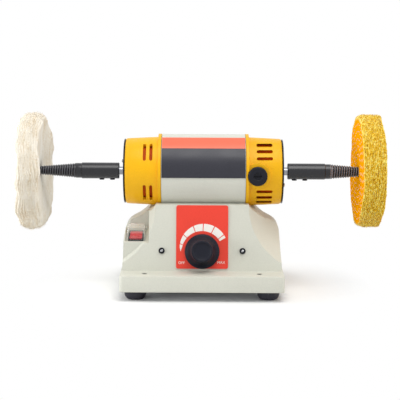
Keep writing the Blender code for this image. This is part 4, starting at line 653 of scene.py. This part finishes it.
def make_yellow_wheel(finishes):
    """Tightly stitched yellow cloth discs with a rough rim."""
    rng = random.Random(SEED + 1)
    cloth = terry("yellow_cotton")
    discs = [layer_disc(YELLOW_SHAPE, layer, rng, quilted) for layer in range(YELLOW_SHAPE.layers)]
    discs.append(fibres(YELLOW_SHAPE, rng, length=0.0021, thickness=0.00014, face_share=0.06))
    vertices, faces = merge(*discs)
    wheel = add_piece("yellow_wheel", vertices, faces, cloth, "rotor",
                      ("yellow_buff",), 180.0)
    make_stitches(rng, finishes["stitch_thread"])


# The tapered, threaded spindles

SPINDLE_START = 0.0840
SPINDLE_RADIUS = 0.0080
SPINDLE_BODY_END = 0.1210
SPINDLE_CHAMFER = 0.0005
RELIEF_RADIUS = 0.0074
THREAD_START = 0.1268
SPINDLE_END = 0.1720
TIP_RADIUS = 0.0036
THREAD_PITCH = 0.0024
THREAD_DEPTH = 0.0009
SPINDLE_BORE = 0.0041
SPINDLE_BORE_DEPTH = 0.012
THREAD_STEPS = 72
THREAD_ROWS = 9


def thread_radius(reach, angle, hand):
    """The spindle's radius on its taper, cut by a one-start thread of that hand."""
    share = min((reach - THREAD_START) / (SPINDLE_END - THREAD_START), 1.0)
    crest = RELIEF_RADIUS + (TIP_RADIUS - RELIEF_RADIUS) * share
    turn = (reach / THREAD_PITCH + hand * angle / math.tau) % 1.0
    cut = 0.5 - 0.5 * math.cos(turn * math.tau)
    run_in = min((reach - THREAD_START) / THREAD_PITCH, 1.0)
    return crest - THREAD_DEPTH * cut**1.5 * max(run_in, 0.0)


def make_spindle(side, name, node, steel):
    """One spindle, its body plain and its taper cut by a thread."""
    body = [(SPINDLE_BORE, SPINDLE_START + SPINDLE_BORE_DEPTH), (SPINDLE_BORE, SPINDLE_START),
            (SPINDLE_RADIUS - SPINDLE_CHAMFER, SPINDLE_START),
            (SPINDLE_RADIUS, SPINDLE_START + SPINDLE_CHAMFER), (SPINDLE_RADIUS, SPINDLE_BODY_END),
            (RELIEF_RADIUS, SPINDLE_BODY_END + SPINDLE_CHAMFER), (RELIEF_RADIUS, THREAD_START)]
    rows = int((SPINDLE_END - THREAD_START) / THREAD_PITCH * THREAD_ROWS)
    places = [THREAD_START + (SPINDLE_END - THREAD_START) * row / rows for row in range(1, rows + 1)]

    def cut(angle, radius, reach):
        threaded = reach > THREAD_START
        return (thread_radius(reach, angle, side) if threaded else radius), reach

    outward = Matrix(((0, 0, side, MOTOR_X), (1, 0, 0, 0), (0, 1, 0, AXIS_Z), (0, 0, 0, 1)))
    vertices, faces = turned(body + [(0.0, place) for place in places], outward, THREAD_STEPS, cut)
    add_piece(name, vertices, faces, steel, "rotor", (node,), 35.0)


def oxide_with_crest_highlight():
    """Black oxide on the spindles, with a pale grey painted highlight along the crests of the thread."""
    made = Finish("oxide_with_crest_highlight")
    fine = made.noise(2200.0, 3.0, 0.6)
    broad = made.noise(90.0, 3.0)
    split = made.node("ShaderNodeSeparateXYZ", {"Vector": made.place})
    along = made.math("SUBTRACT", made.math("ABSOLUTE", split.outputs["X"], 0.0), THREAD_START)
    fall = (RELIEF_RADIUS - TIP_RADIUS) / (SPINDLE_END - THREAD_START)
    level = made.math("ADD", made.from_shaft(split), made.math("MULTIPLY", along, fall))
    # The pale band on the thread's crests is a painted highlight.
    worn = made.grey(level, 0.0, 1.0, RELIEF_RADIUS - 0.4 * THREAD_DEPTH, RELIEF_RADIUS)
    crest = made.math("MULTIPLY", worn, made.grey(along, 0.0, 0.8, 0.0002, 0.0008))
    base = made.ramp(broad, (0.3, shade(OXIDE, 0.5)), (0.7, shade(OXIDE, 0.75)))
    made.set(Base_Color=made.mix(crest, base, CREST_HIGHLIGHT_GREY))
    made.set(Roughness=made.grey(fine, 0.2, 0.32), Specular_IOR_Level=0.55)
    made.set(Normal=made.bump(fine, 0.00001, 0.5, made.rounded(0.0003)))
    return made.material


def make_spindles():
    oxide = oxide_with_crest_highlight()
    make_spindle(-1.0, "left_spindle", "spindle_left", oxide)
    make_spindle(1.0, "right_spindle", "spindle_right", oxide)


# The speed knob and its dial

DIAL_FACE = 0.00112
KNOB_CENTRE = Vector((0.0, 0.0190))
KNOB_BASE = 0.0020
KNOB_TOP = 0.0192
KNOB_STEPS = 432
KNOB_FACE = [(0.0040, 0.01838), (0.0078, 0.01845), (0.0081, 0.01865), (0.0083, 0.01905),
             (0.0086, KNOB_TOP), (0.0097, KNOB_TOP), (0.0101, 0.0190)]
KNOB_SKIRT = [(0.0152, 0.0053), (0.0163, 0.0052), (0.0168, 0.0048), (0.0169, 0.0043), (0.0169, 0.0024),
              (0.0167, KNOB_BASE), (0.0092, KNOB_BASE), (0.0090, 0.0022), (0.0090, 0.0085)]
FLANK_TOP = (0.0103, 0.0186)
FLANK_FOOT = (0.0147, 0.0056)
FLANK_FLARE = 1.8
FLANK_ROWS = 12
RIB_COUNT = 72
RIB_DEPTH = 0.00022
RIB_LOW = 0.0060
RIB_HIGH = 0.0182
RIB_INSIDE = 0.0102
RIB_FADE = 0.0008


def knob_flank(part):
    """The flank's (radius, height), from the face's edge down to the skirt."""
    radius = FLANK_TOP[0] + (FLANK_FOOT[0] - FLANK_TOP[0]) * part**FLANK_FLARE
    height = FLANK_TOP[1] - (FLANK_TOP[1] - FLANK_FOOT[1]) * part
    return radius, height


def ribbed(angle, radius, height):
    """The knob's (radius, height) at an angle, with its grip ribs cut in."""
    if not (RIB_LOW < height < RIB_HIGH and radius > RIB_INSIDE):
        return radius, height
    fade = min((height - RIB_LOW) / RIB_FADE, (RIB_HIGH - height) / RIB_FADE, 1.0)
    rib = 0.5 + 0.5 * math.cos(angle * RIB_COUNT)
    return radius - RIB_DEPTH * fade * (1.0 - rib**0.6), height


def make_knob(finishes):
    """A skirted knob with fine ribs down its flared flank and a raised ring on its face."""
    flank = [knob_flank(row / FLANK_ROWS) for row in range(FLANK_ROWS + 1)]
    place = PANEL @ Matrix.Translation((KNOB_CENTRE.x, KNOB_CENTRE.y, 0.0))
    vertices, faces = turned(KNOB_FACE + flank + KNOB_SKIRT, place, KNOB_STEPS, ribbed)
    add_piece("turning_knob", vertices, faces, finishes["knob_plastic"], "knob",
              ("speed_knob",), 50.0)


ARC_INNER = 0.0199
ARC_OUTER = 0.0234
ARC_SHIFT = Vector((0.0015, 0.0035))
ARC_STOPS = (181.5, 161.0, 138.2, 109.5, 87.6, 63.4, 37.8, 29.6)
ARC_STEPS = 14
ARC_TAPER = 1.6
DIVIDER = 0.0007
INK_LIFT = 0.00004
LETTER_SIZE = 0.0036


def outer_edge(angle):
    """How far the arc's outer edge is from the knob's middle, at an angle."""
    ray = Vector((math.cos(angle), math.sin(angle)))
    along = ray.dot(-ARC_SHIFT)
    return -along + math.sqrt(along**2 - ARC_SHIFT.length_squared + ARC_OUTER**2)


def panel_point(across, up, out):
    return PANEL @ Vector((across, up, out))


def arc_segment(start, end, pointed):
    """One white block of the speed scale, between two angles, as a thin slab."""
    vertices, faces = [], []
    for step in range(ARC_STEPS + 1):
        angle = math.radians(start + (end - start) * step / ARC_STEPS)
        inner, outer = ARC_INNER, outer_edge(angle)
        if pointed:
            tip = min(step / ARC_STEPS * ARC_TAPER, 1.0)
            middle = (inner + outer) / 2
            inner, outer = middle + (inner - middle) * tip, middle + (outer - middle) * tip
        ray = Vector((math.cos(angle), math.sin(angle)))
        for radius in (inner, outer):
            point = KNOB_CENTRE + ray * radius
            vertices.append(panel_point(point.x, point.y, DIAL_FACE + INK_LIFT))
            vertices.append(panel_point(point.x, point.y, DIAL_FACE))
        if step:
            a, b = 4 * (step - 1), 4 * step
            faces += [(a, a + 2, b + 2, b), (a + 1, b + 1, b + 3, a + 3)]
            faces += [(a, b, b + 1, a + 1), (a + 2, a + 3, b + 3, b + 2)]
    end = 4 * ARC_STEPS
    faces += [(0, 1, 3, 2), (end, end + 2, end + 3, end + 1)]
    return vertices, faces


def dial_word(text, across, up, ink, name):
    """Generic dial lettering as a thin raised print."""
    curve = bpy.data.curves.new(name, "FONT")
    curve.body, curve.size = text, LETTER_SIZE
    curve.align_x, curve.align_y = "CENTER", "CENTER"
    curve.extrude = INK_LIFT / 2
    source = put(name + "_source", curve)
    source.matrix_world = PANEL @ Matrix.Translation((across, up, DIAL_FACE))
    bpy.context.view_layer.update()
    solid = source.evaluated_get(bpy.context.evaluated_depsgraph_get())
    mesh = bpy.data.meshes.new_from_object(solid)
    mesh.transform(source.matrix_world)
    bpy.data.objects.remove(source)
    mesh.name = name
    mesh.materials.clear()
    mesh.materials.append(ink)
    word = put(name, mesh)
    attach(word, "frame")


def make_dial_print(finishes):
    ink = finishes["dial_ink"]
    blocks = []
    gap = math.degrees(DIVIDER / 2 / ARC_INNER)
    for index in range(len(ARC_STOPS) - 1):
        start, end = ARC_STOPS[index] - gap, ARC_STOPS[index + 1] + gap
        blocks.append(arc_segment(start, end, index == 0))
    vertices, faces = merge(*blocks)
    add_piece("dial_scale", vertices, faces, ink, "frame")
    dial_word("OFF", -0.0200, 0.0078, ink, "dial_word_off")
    dial_word("MAX", 0.0186, 0.0082, ink, "dial_word_max")


# The panel screws: a black cup with a squashed zinc disc in it as a painted glint

SCREW_ACROSS = 0.0394
SCREW_UP = 0.0196
SCREW_CUP = [(0.0012, 0.0006), (0.0019, 0.0006), (0.0021, 0.0013), (0.0024, 0.0016),
             (0.0028, 0.0013), (0.0030, 0.0006), (0.0030, 0.0002)]
SCREW_GLINT = [(0.0002, 0.00135), (0.0008, 0.00130), (0.0013, 0.00115), (0.0017, 0.0008),
              (0.0018, 0.0006)]
GLINT_TURN = 35.0
GLINT_FLAT = 0.72


def screw_cup(x, name, node, finishes):
    """A black cup in the panel, and a zinc disc in it, narrower one way than the other, as a painted
    glint.
    """
    place = PANEL @ Matrix.Translation((x, SCREW_UP, 0.0))
    vertices, faces = turned(SCREW_CUP, place, 40)
    add_piece(name, vertices, faces, finishes["black_plastic"], "frame", (node,))
    # The squashed zinc disc below is a painted glint.
    tilted = place @ Matrix.Rotation(math.radians(GLINT_TURN), 4, "Z")
    tilted = tilted @ Matrix.Diagonal((1.0, GLINT_FLAT, 1.0, 1.0))
    vertices, faces = turned(SCREW_GLINT, tilted, 32)
    add_piece(name + "_head", vertices, faces, finishes["zinc_steel"], "frame")


def make_panel_screws(finishes):
    screw_cup(-SCREW_ACROSS, "panel_cup_left", "panel_screw_left", finishes)
    screw_cup(SCREW_ACROSS, "panel_cup_right", "panel_screw_right", finishes)


# The rocker switch and its clear cover

SWITCH = POD @ Matrix.Translation((0.0, 0.0134, -0.0020))
CORNER_STEPS = 5


def rounded_outline(width, length, corner):
    """The points of a rectangle with rounded corners, anticlockwise."""
    points = []
    for index, (x, y) in enumerate(((1, 1), (-1, 1), (-1, -1), (1, -1))):
        centre = Vector((x * (width / 2 - corner), y * (length / 2 - corner)))
        for step in range(CORNER_STEPS + 1):
            angle = math.radians(90 * index + 90 * step / CORNER_STEPS)
            points.append(centre + Vector((math.cos(angle), math.sin(angle))) * corner)
    return points


def switch_rows(shape, lift=0.0):
    """Outlines round the switch, from (width, length, out, corner) in millimetres."""
    rows = []
    for width, length, out, corner in shape:
        outline = rounded_outline(width / 1000, length / 1000, corner / 1000)
        rows.append([SWITCH @ Vector((p.x, p.y, out / 1000 + lift)) for p in outline])
    return rows


def skin(rows, gap=None):
    """Faces between rows of the same number of points, with a cap at both ends and at a gap."""
    steps = len(rows[0])
    vertices = [point for row in rows for point in row]
    faces = []
    for row in range(len(rows) - 1):
        if row != gap:
            faces += ring_faces(row * steps, (row + 1) * steps, steps)
    ends = (0, len(rows) - 1) if gap is None else (gap, gap + 1)
    faces += [tuple(range(row * steps, (row + 1) * steps)) for row in ends]
    return vertices, faces


COVER_OUTSIDE = [(17.9, 22.5, 0.0, 1.6), (17.9, 22.5, 0.7, 1.6), (17.5, 22.1, 0.8, 1.6),
                 (16.9, 21.5, 8.4, 1.6), (16.6, 21.2, 9.1, 1.6), (15.9, 20.5, 9.55, 1.6),
                 (15.2, 19.8, 9.7, 1.6)]
COVER_INSIDE = [(15.0, 19.6, 9.1, 1.6), (15.6, 20.2, 8.6, 1.6), (16.1, 20.7, 7.6, 1.6),
                (16.5, 21.1, 0.0, 1.6)]
COVER_LIFT = 0.0003


def make_switch_cover(finishes):
    """A thin clear box over the switch, with rounded edges and a foot round its mouth."""
    rows = switch_rows(COVER_OUTSIDE + COVER_INSIDE, COVER_LIFT)
    steps = len(rows[0])
    vertices, faces = skin(rows, gap=len(COVER_OUTSIDE) - 1)
    faces += ring_faces((len(rows) - 1) * steps, 0, steps)
    add_piece("clear_cover", vertices, faces, finishes["clear_plastic"], "frame",
              ("switch_cover",), 60.0)


BEZEL = [(12.8, 17.8, -12.4, 0.3), (12.8, 17.8, 0.1, 0.3), (15.0, 19.6, 0.1, 0.8),
         (15.0, 19.6, 1.7, 0.8), (14.4, 19.0, 2.1, 0.8), (13.0, 18.3, 2.1, 0.3),
         (12.7, 18.0, 1.9, 0.3), (12.7, 18.0, 0.12, 0.3), (11.4, 16.2, 0.12, 0.3),
         (11.4, 16.2, -11.6, 0.3)]


def make_bezel(finishes):
    """The switch's housing: a rounded bezel, and a box below it with a stepped well."""
    vertices, faces = skin(switch_rows(BEZEL))
    add_piece("switch_bezel", vertices, faces, finishes["black_plastic"], "frame",
              ("switch_housing",), 30.0)


ROCKER_TIP = 9.0
ROCKER_LIFT = 0.0007
ROCKER_HALF = 0.0086
SLAB_POINTS = 41
SLAB_WIDTH = 0.0123
SLAB_THICK = 0.0008
SLAB_BELOW = [(ROCKER_HALF, 0.0009), (0.0077, 0.0008), (0.0, -0.0004), (-0.0077, 0.0008),
              (-ROCKER_HALF, 0.0009)]
RIDGE_HEIGHT = 0.00012
RIDGE_SPEED = 5200.0
RIDGE_START = 0.002
RIDGE_END = 0.0076
EDGE_DROP = 0.0005
EDGE_REACH = 0.0006
SIDE_DROP = 0.0004
KEEL_WIDTH = 0.0104
KEEL = [(-0.0072, 0.0010), (0.0, 0.0002), (0.0072, 0.0010), (0.0072, -0.0008), (0.0, -0.0055),
        (-0.0072, -0.0008)]


def slab_top(along):
    """The rocker's upper face: a shallow V with finger ridges, eased at its two ends."""
    rise = abs(along) * math.tan(math.radians(ROCKER_TIP)) + SLAB_THICK
    ridged = RIDGE_START < abs(along) < RIDGE_END
    ridge = RIDGE_HEIGHT * max(0.0, math.sin(along * RIDGE_SPEED)) if ridged else 0.0
    beyond = max(0.0, (abs(along) - ROCKER_HALF + EDGE_REACH) / EDGE_REACH)
    return rise + ridge - EDGE_DROP * beyond**2


def rocker_bar(outline, width, place, broken):
    """A bar of one side view; the first points of the view have their outer edges broken."""
    rows = []
    for across, inset in ((-0.5, SIDE_DROP), (-0.48, 0.0), (0.48, 0.0), (0.5, SIDE_DROP)):
        row = []
        for index, (y, z) in enumerate(outline):
            drop = inset if index < broken else 0.0
            row.append(place @ Vector((across * width, y, z - drop)))
        rows.append(row)
    return skin(rows)


def make_rocker(finishes):
    """The red rocker and the keel below it that it tips on."""
    last = SLAB_POINTS - 1
    places = [-ROCKER_HALF + 2 * ROCKER_HALF * step / last for step in range(SLAB_POINTS)]
    slab = [(along, slab_top(along)) for along in places] + SLAB_BELOW
    place = SWITCH @ Matrix.Translation((0.0, 0.0, ROCKER_LIFT))
    place = place @ Matrix.Rotation(math.radians(-ROCKER_TIP), 4, "X")
    vertices, faces = merge(rocker_bar(slab, SLAB_WIDTH, place, SLAB_POINTS),
                            rocker_bar(KEEL, KEEL_WIDTH, place, 0))
    add_piece("red_rocker", vertices, faces, finishes["red_plastic"], "rocker",
              ("switch_rocker",), 30.0)


# Orange sheets inside the end caps, seen through the vents: painted shade and yellow bounce light of the
# caps' insides

SHADE_SHEET_RADIUS = 0.0292
SHADE_SHEET_WALL = 0.0006
SHADE_SHEET_START = 0.0450
SHADE_SHEET_STEPS = 40
SHADE_SHEET_LOW = 26.0


def vent_shade_sheet(name, end, side, low, high, material):
    """A bent sheet inside a cap, between two angles from the front, its orange a painted shade and
    bounce light.
    """
    vertices, faces = [], []
    near, far = SHADE_SHEET_RADIUS - SHADE_SHEET_WALL, SHADE_SHEET_RADIUS
    corners = ((far, SHADE_SHEET_START), (far, end), (near, end), (near, SHADE_SHEET_START))
    for step in range(SHADE_SHEET_STEPS + 1):
        angle = math.pi - math.radians(low + (high - low) * step / SHADE_SHEET_STEPS)
        vertices += [on_wheel(radius, angle, reach, side) for radius, reach in corners]
        if step:
            faces += ring_faces(4 * (step - 1), 4 * step, 4)
    faces += [(0, 1, 2, 3), tuple(4 * SHADE_SHEET_STEPS + i for i in range(4))]
    add_piece(name, vertices, faces, material, "frame")


def make_vent_shade_sheets(finishes):
    material = finishes["vent_shade_sheet"]
    vent_shade_sheet("left_cap_shade_sheet", 0.0690, -1.0, 0.0, 360.0, material)
    vent_shade_sheet("upper_shade_sheet", 0.0700, 1.0, SHADE_SHEET_LOW, 180.0 - SHADE_SHEET_LOW, material)
    vent_shade_sheet("lower_shade_sheet", 0.0700, 1.0, SHADE_SHEET_LOW - 180.0, -SHADE_SHEET_LOW, material)


# The brush springs, each a wire coil between a brush and its cap

COIL_TURNS = 7
COIL_POINTS = 28
COIL_RADIUS = 0.0024
COIL_CAP_END = 0.0309
COIL_BRUSH_END = 0.0235
WIRE_RADIUS = 0.0003
WIRE_SIDES = 8
BRUSH_X = 0.05375
COIL_AXIS = Vector((0.0, 1.0, 0.0))


def coil_row(share, side):
    """The wire's points round one place of the coil; side is -1 at the front."""
    along = side * (COIL_CAP_END + (COIL_BRUSH_END - COIL_CAP_END) * share)
    angle = math.tau * COIL_TURNS * share
    out = Vector((math.cos(angle), 0.0, math.sin(angle)))
    centre = Vector((BRUSH_X, along, AXIS_Z)) + out * COIL_RADIUS
    row = []
    for turn in range(WIRE_SIDES):
        way = math.tau * turn / WIRE_SIDES
        row.append(centre + (out * math.cos(way) + COIL_AXIS * math.sin(way)) * WIRE_RADIUS)
    return row


def make_brush_spring(name, node, side, finishes):
    """A wire coil along Y between a brush and its cap."""
    count = COIL_TURNS * COIL_POINTS
    vertices, faces = skin([coil_row(step / count, side) for step in range(count + 1)])
    coil = add_piece(name, vertices, faces, finishes["bright_steel"], "frame",
                     (node,), 60.0)
    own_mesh(coil)


def make_brush_springs(finishes):
    make_brush_spring("front_brush_coil", "brush_spring_front", -1.0, finishes)
    make_brush_spring("rear_brush_coil", "brush_spring_rear", 1.0, finishes)


# Black liners in the flange's four bench holes: painted shade where the deep holes are dark

BENCH_HOLE_X = 0.0553
BENCH_HOLE_Y = 0.0595
HOLE_SHADE_LINER = [(0.0027, 0.0106), (0.0027, 0.0247), (0.0023, 0.0247), (0.0023, 0.0106)]
HOLE_SHADE_STEPS = 32


def make_hole_shade_liners(finishes):
    shade_liners = []
    inner_row = (len(HOLE_SHADE_LINER) - 1) * HOLE_SHADE_STEPS
    for x in (-BENCH_HOLE_X, BENCH_HOLE_X):
        for y in (-BENCH_HOLE_Y, BENCH_HOLE_Y):
            vertices, faces = turned(HOLE_SHADE_LINER, Matrix.Translation((x, y, 0.0)), HOLE_SHADE_STEPS)
            faces = [face for face in faces if len(face) == 4] + ring_faces(inner_row, 0, HOLE_SHADE_STEPS)
            shade_liners.append((vertices, faces))
    vertices, faces = merge(*shade_liners)
    # These black liners are painted shade inside the holes.
    add_piece("bench_hole_shade_liners", vertices, faces, finishes["black_plastic"], "frame")


# Camera, floor and light

CAMERA_PLACE = (-0.0023, -1.1883, 0.2841)
CAMERA_DOWN = 9.39
CAMERA_ROLL = 0.3
LENS = 108.0
SENSOR = 36.0


def make_camera():
    data = bpy.data.cameras.new("camera")
    data.lens, data.sensor_width = LENS, SENSOR
    data.clip_start, data.clip_end = 0.01, 50.0
    camera = put("camera", data)
    tilt = Matrix.Rotation(math.radians(90.0 - CAMERA_DOWN), 4, "X")
    roll = Matrix.Rotation(math.radians(CAMERA_ROLL), 4, "Z")
    camera.matrix_world = Matrix.Translation(CAMERA_PLACE) @ tilt @ roll
    bpy.context.scene.camera = camera
    bpy.context.scene.view_settings.view_transform = "Standard"


LIT_MIDDLE = Vector((0.0, 0.0, 0.1))


def soft_box(name, place, width, height, power, colour):
    data = bpy.data.lights.new(name, "AREA")
    data.shape = "RECTANGLE"
    data.size, data.size_y = width, height
    data.energy = power
    data.color = colour
    lamp = put(name, data)
    lamp.location = place
    aim = LIT_MIDDLE - Vector(place)
    lamp.rotation_mode = "QUATERNION"
    lamp.rotation_quaternion = aim.to_track_quat("-Z", "Y")


def make_lights():
    soft_box("key_light", (0.2, -0.52, 1.5), 1.3, 1.0, 15.2, (1.0, 0.99, 0.97))
    soft_box("left_light", (-1.5, -0.1, 0.55), 0.9, 0.9, 9.0, (0.98, 0.99, 1.0))
    soft_box("left_fill", (-1.15, -0.6, 0.14), 0.5, 0.25, 4.5, (0.94, 0.97, 1.0))
    soft_box("back_left_light", (-1.1, 1.0, 0.9), 0.9, 0.9, 7.0, (0.95, 0.97, 1.0))
    soft_box("right_light", (1.5, -0.35, 0.5), 0.9, 0.9, 6.0, (0.99, 0.99, 1.0))


def white_seen(tree):
    """A factor that is 1 for what the camera, a gloss or a glass sees, to be turned white."""
    path = tree.nodes.new("ShaderNodeLightPath")
    seen = path.outputs["Is Camera Ray"]
    for name in ("Is Glossy Ray", "Is Transmission Ray"):
        either = tree.nodes.new("ShaderNodeMath")
        either.operation = "MAXIMUM"
        tree.links.new(seen, either.inputs[0])
        tree.links.new(path.outputs[name], either.inputs[1])
        seen = either.outputs[0]
    return seen


WORLD_LIGHT = 0.54


def make_world():
    world = bpy.data.worlds.new("studio")
    bpy.context.scene.world = world
    world.use_nodes = True
    tree = world.node_tree
    light = tree.nodes["Background"]
    light.inputs["Color"].default_value = (0.97, 0.985, 1.0, 1.0)
    light.inputs["Strength"].default_value = WORLD_LIGHT
    white = tree.nodes.new("ShaderNodeBackground")
    white.inputs["Color"].default_value = (1.0, 1.0, 1.0, 1.0)
    white.inputs["Strength"].default_value = 1.0
    either = tree.nodes.new("ShaderNodeMixShader")
    tree.links.new(white_seen(tree), either.inputs["Fac"])
    tree.links.new(light.outputs[0], either.inputs[1])
    tree.links.new(white.outputs[0], either.inputs[2])
    tree.links.new(either.outputs[0], tree.nodes["World Output"].inputs["Surface"])


FLOOR_HALF = 6.0
FLOOR_COLOUR = (0.9, 0.9, 0.895, 1.0)
FLOOR_BOUNCE = (0.76, 0.76, 0.75, 1.0)
FADE_START = 0.11
FADE_END = 0.2


def floor_material():
    """A pale floor that keeps the shadow near the object and is plain white further off."""
    made = Finish("studio_floor")
    seen = white_seen(made.tree)
    pale = made.ramp(made.noise(3.0), (0.3, shade(FLOOR_COLOUR, 0.99)), (0.7, FLOOR_COLOUR))
    made.set(Base_Color=made.mix(seen, FLOOR_BOUNCE, pale), Roughness=0.9)
    made.set(Specular_IOR_Level=0.1)
    distance = made.node("ShaderNodeVectorMath", {0: made.scaled((1.15, 1.0, 1.0))},
                         operation="LENGTH").outputs["Value"]
    far = made.grey(distance, 0.0, 1.0, FADE_START, FADE_END)
    white = made.node("ShaderNodeEmission", {"Color": (1.0, 1.0, 1.0, 1.0), "Strength": 1.0})
    share = made.math("MULTIPLY", far, seen)
    either = made.node("ShaderNodeMixShader", {0: share, 1: made.shader.outputs[0], 2: white.outputs[0]})
    made.tree.links.new(either.outputs[0], made.tree.nodes["Material Output"].inputs["Surface"])
    return made.material


def make_floor():
    mesh = bpy.data.meshes.new("studio_floor")
    half = FLOOR_HALF
    mesh.from_pydata([(-half, -half, 0), (half, -half, 0), (half, half, 0), (-half, half, 0)],
                     [], [(0, 1, 2, 3)])
    mesh.materials.append(floor_material())
    floor = put("studio_floor", mesh)


# The whole scene

def build():
    finishes = make_finishes()
    dress_frame(finishes)
    make_camera()
    make_world()
    make_lights()
    make_floor()
    make_white_wheel()
    make_yellow_wheel(finishes)
    make_spindles()
    make_knob(finishes)
    make_dial_print(finishes)
    make_panel_screws(finishes)
    make_switch_cover(finishes)
    make_bezel(finishes)
    make_rocker(finishes)
    make_vent_shade_sheets(finishes)
    make_brush_springs(finishes)
    make_hole_shade_liners(finishes)


build()
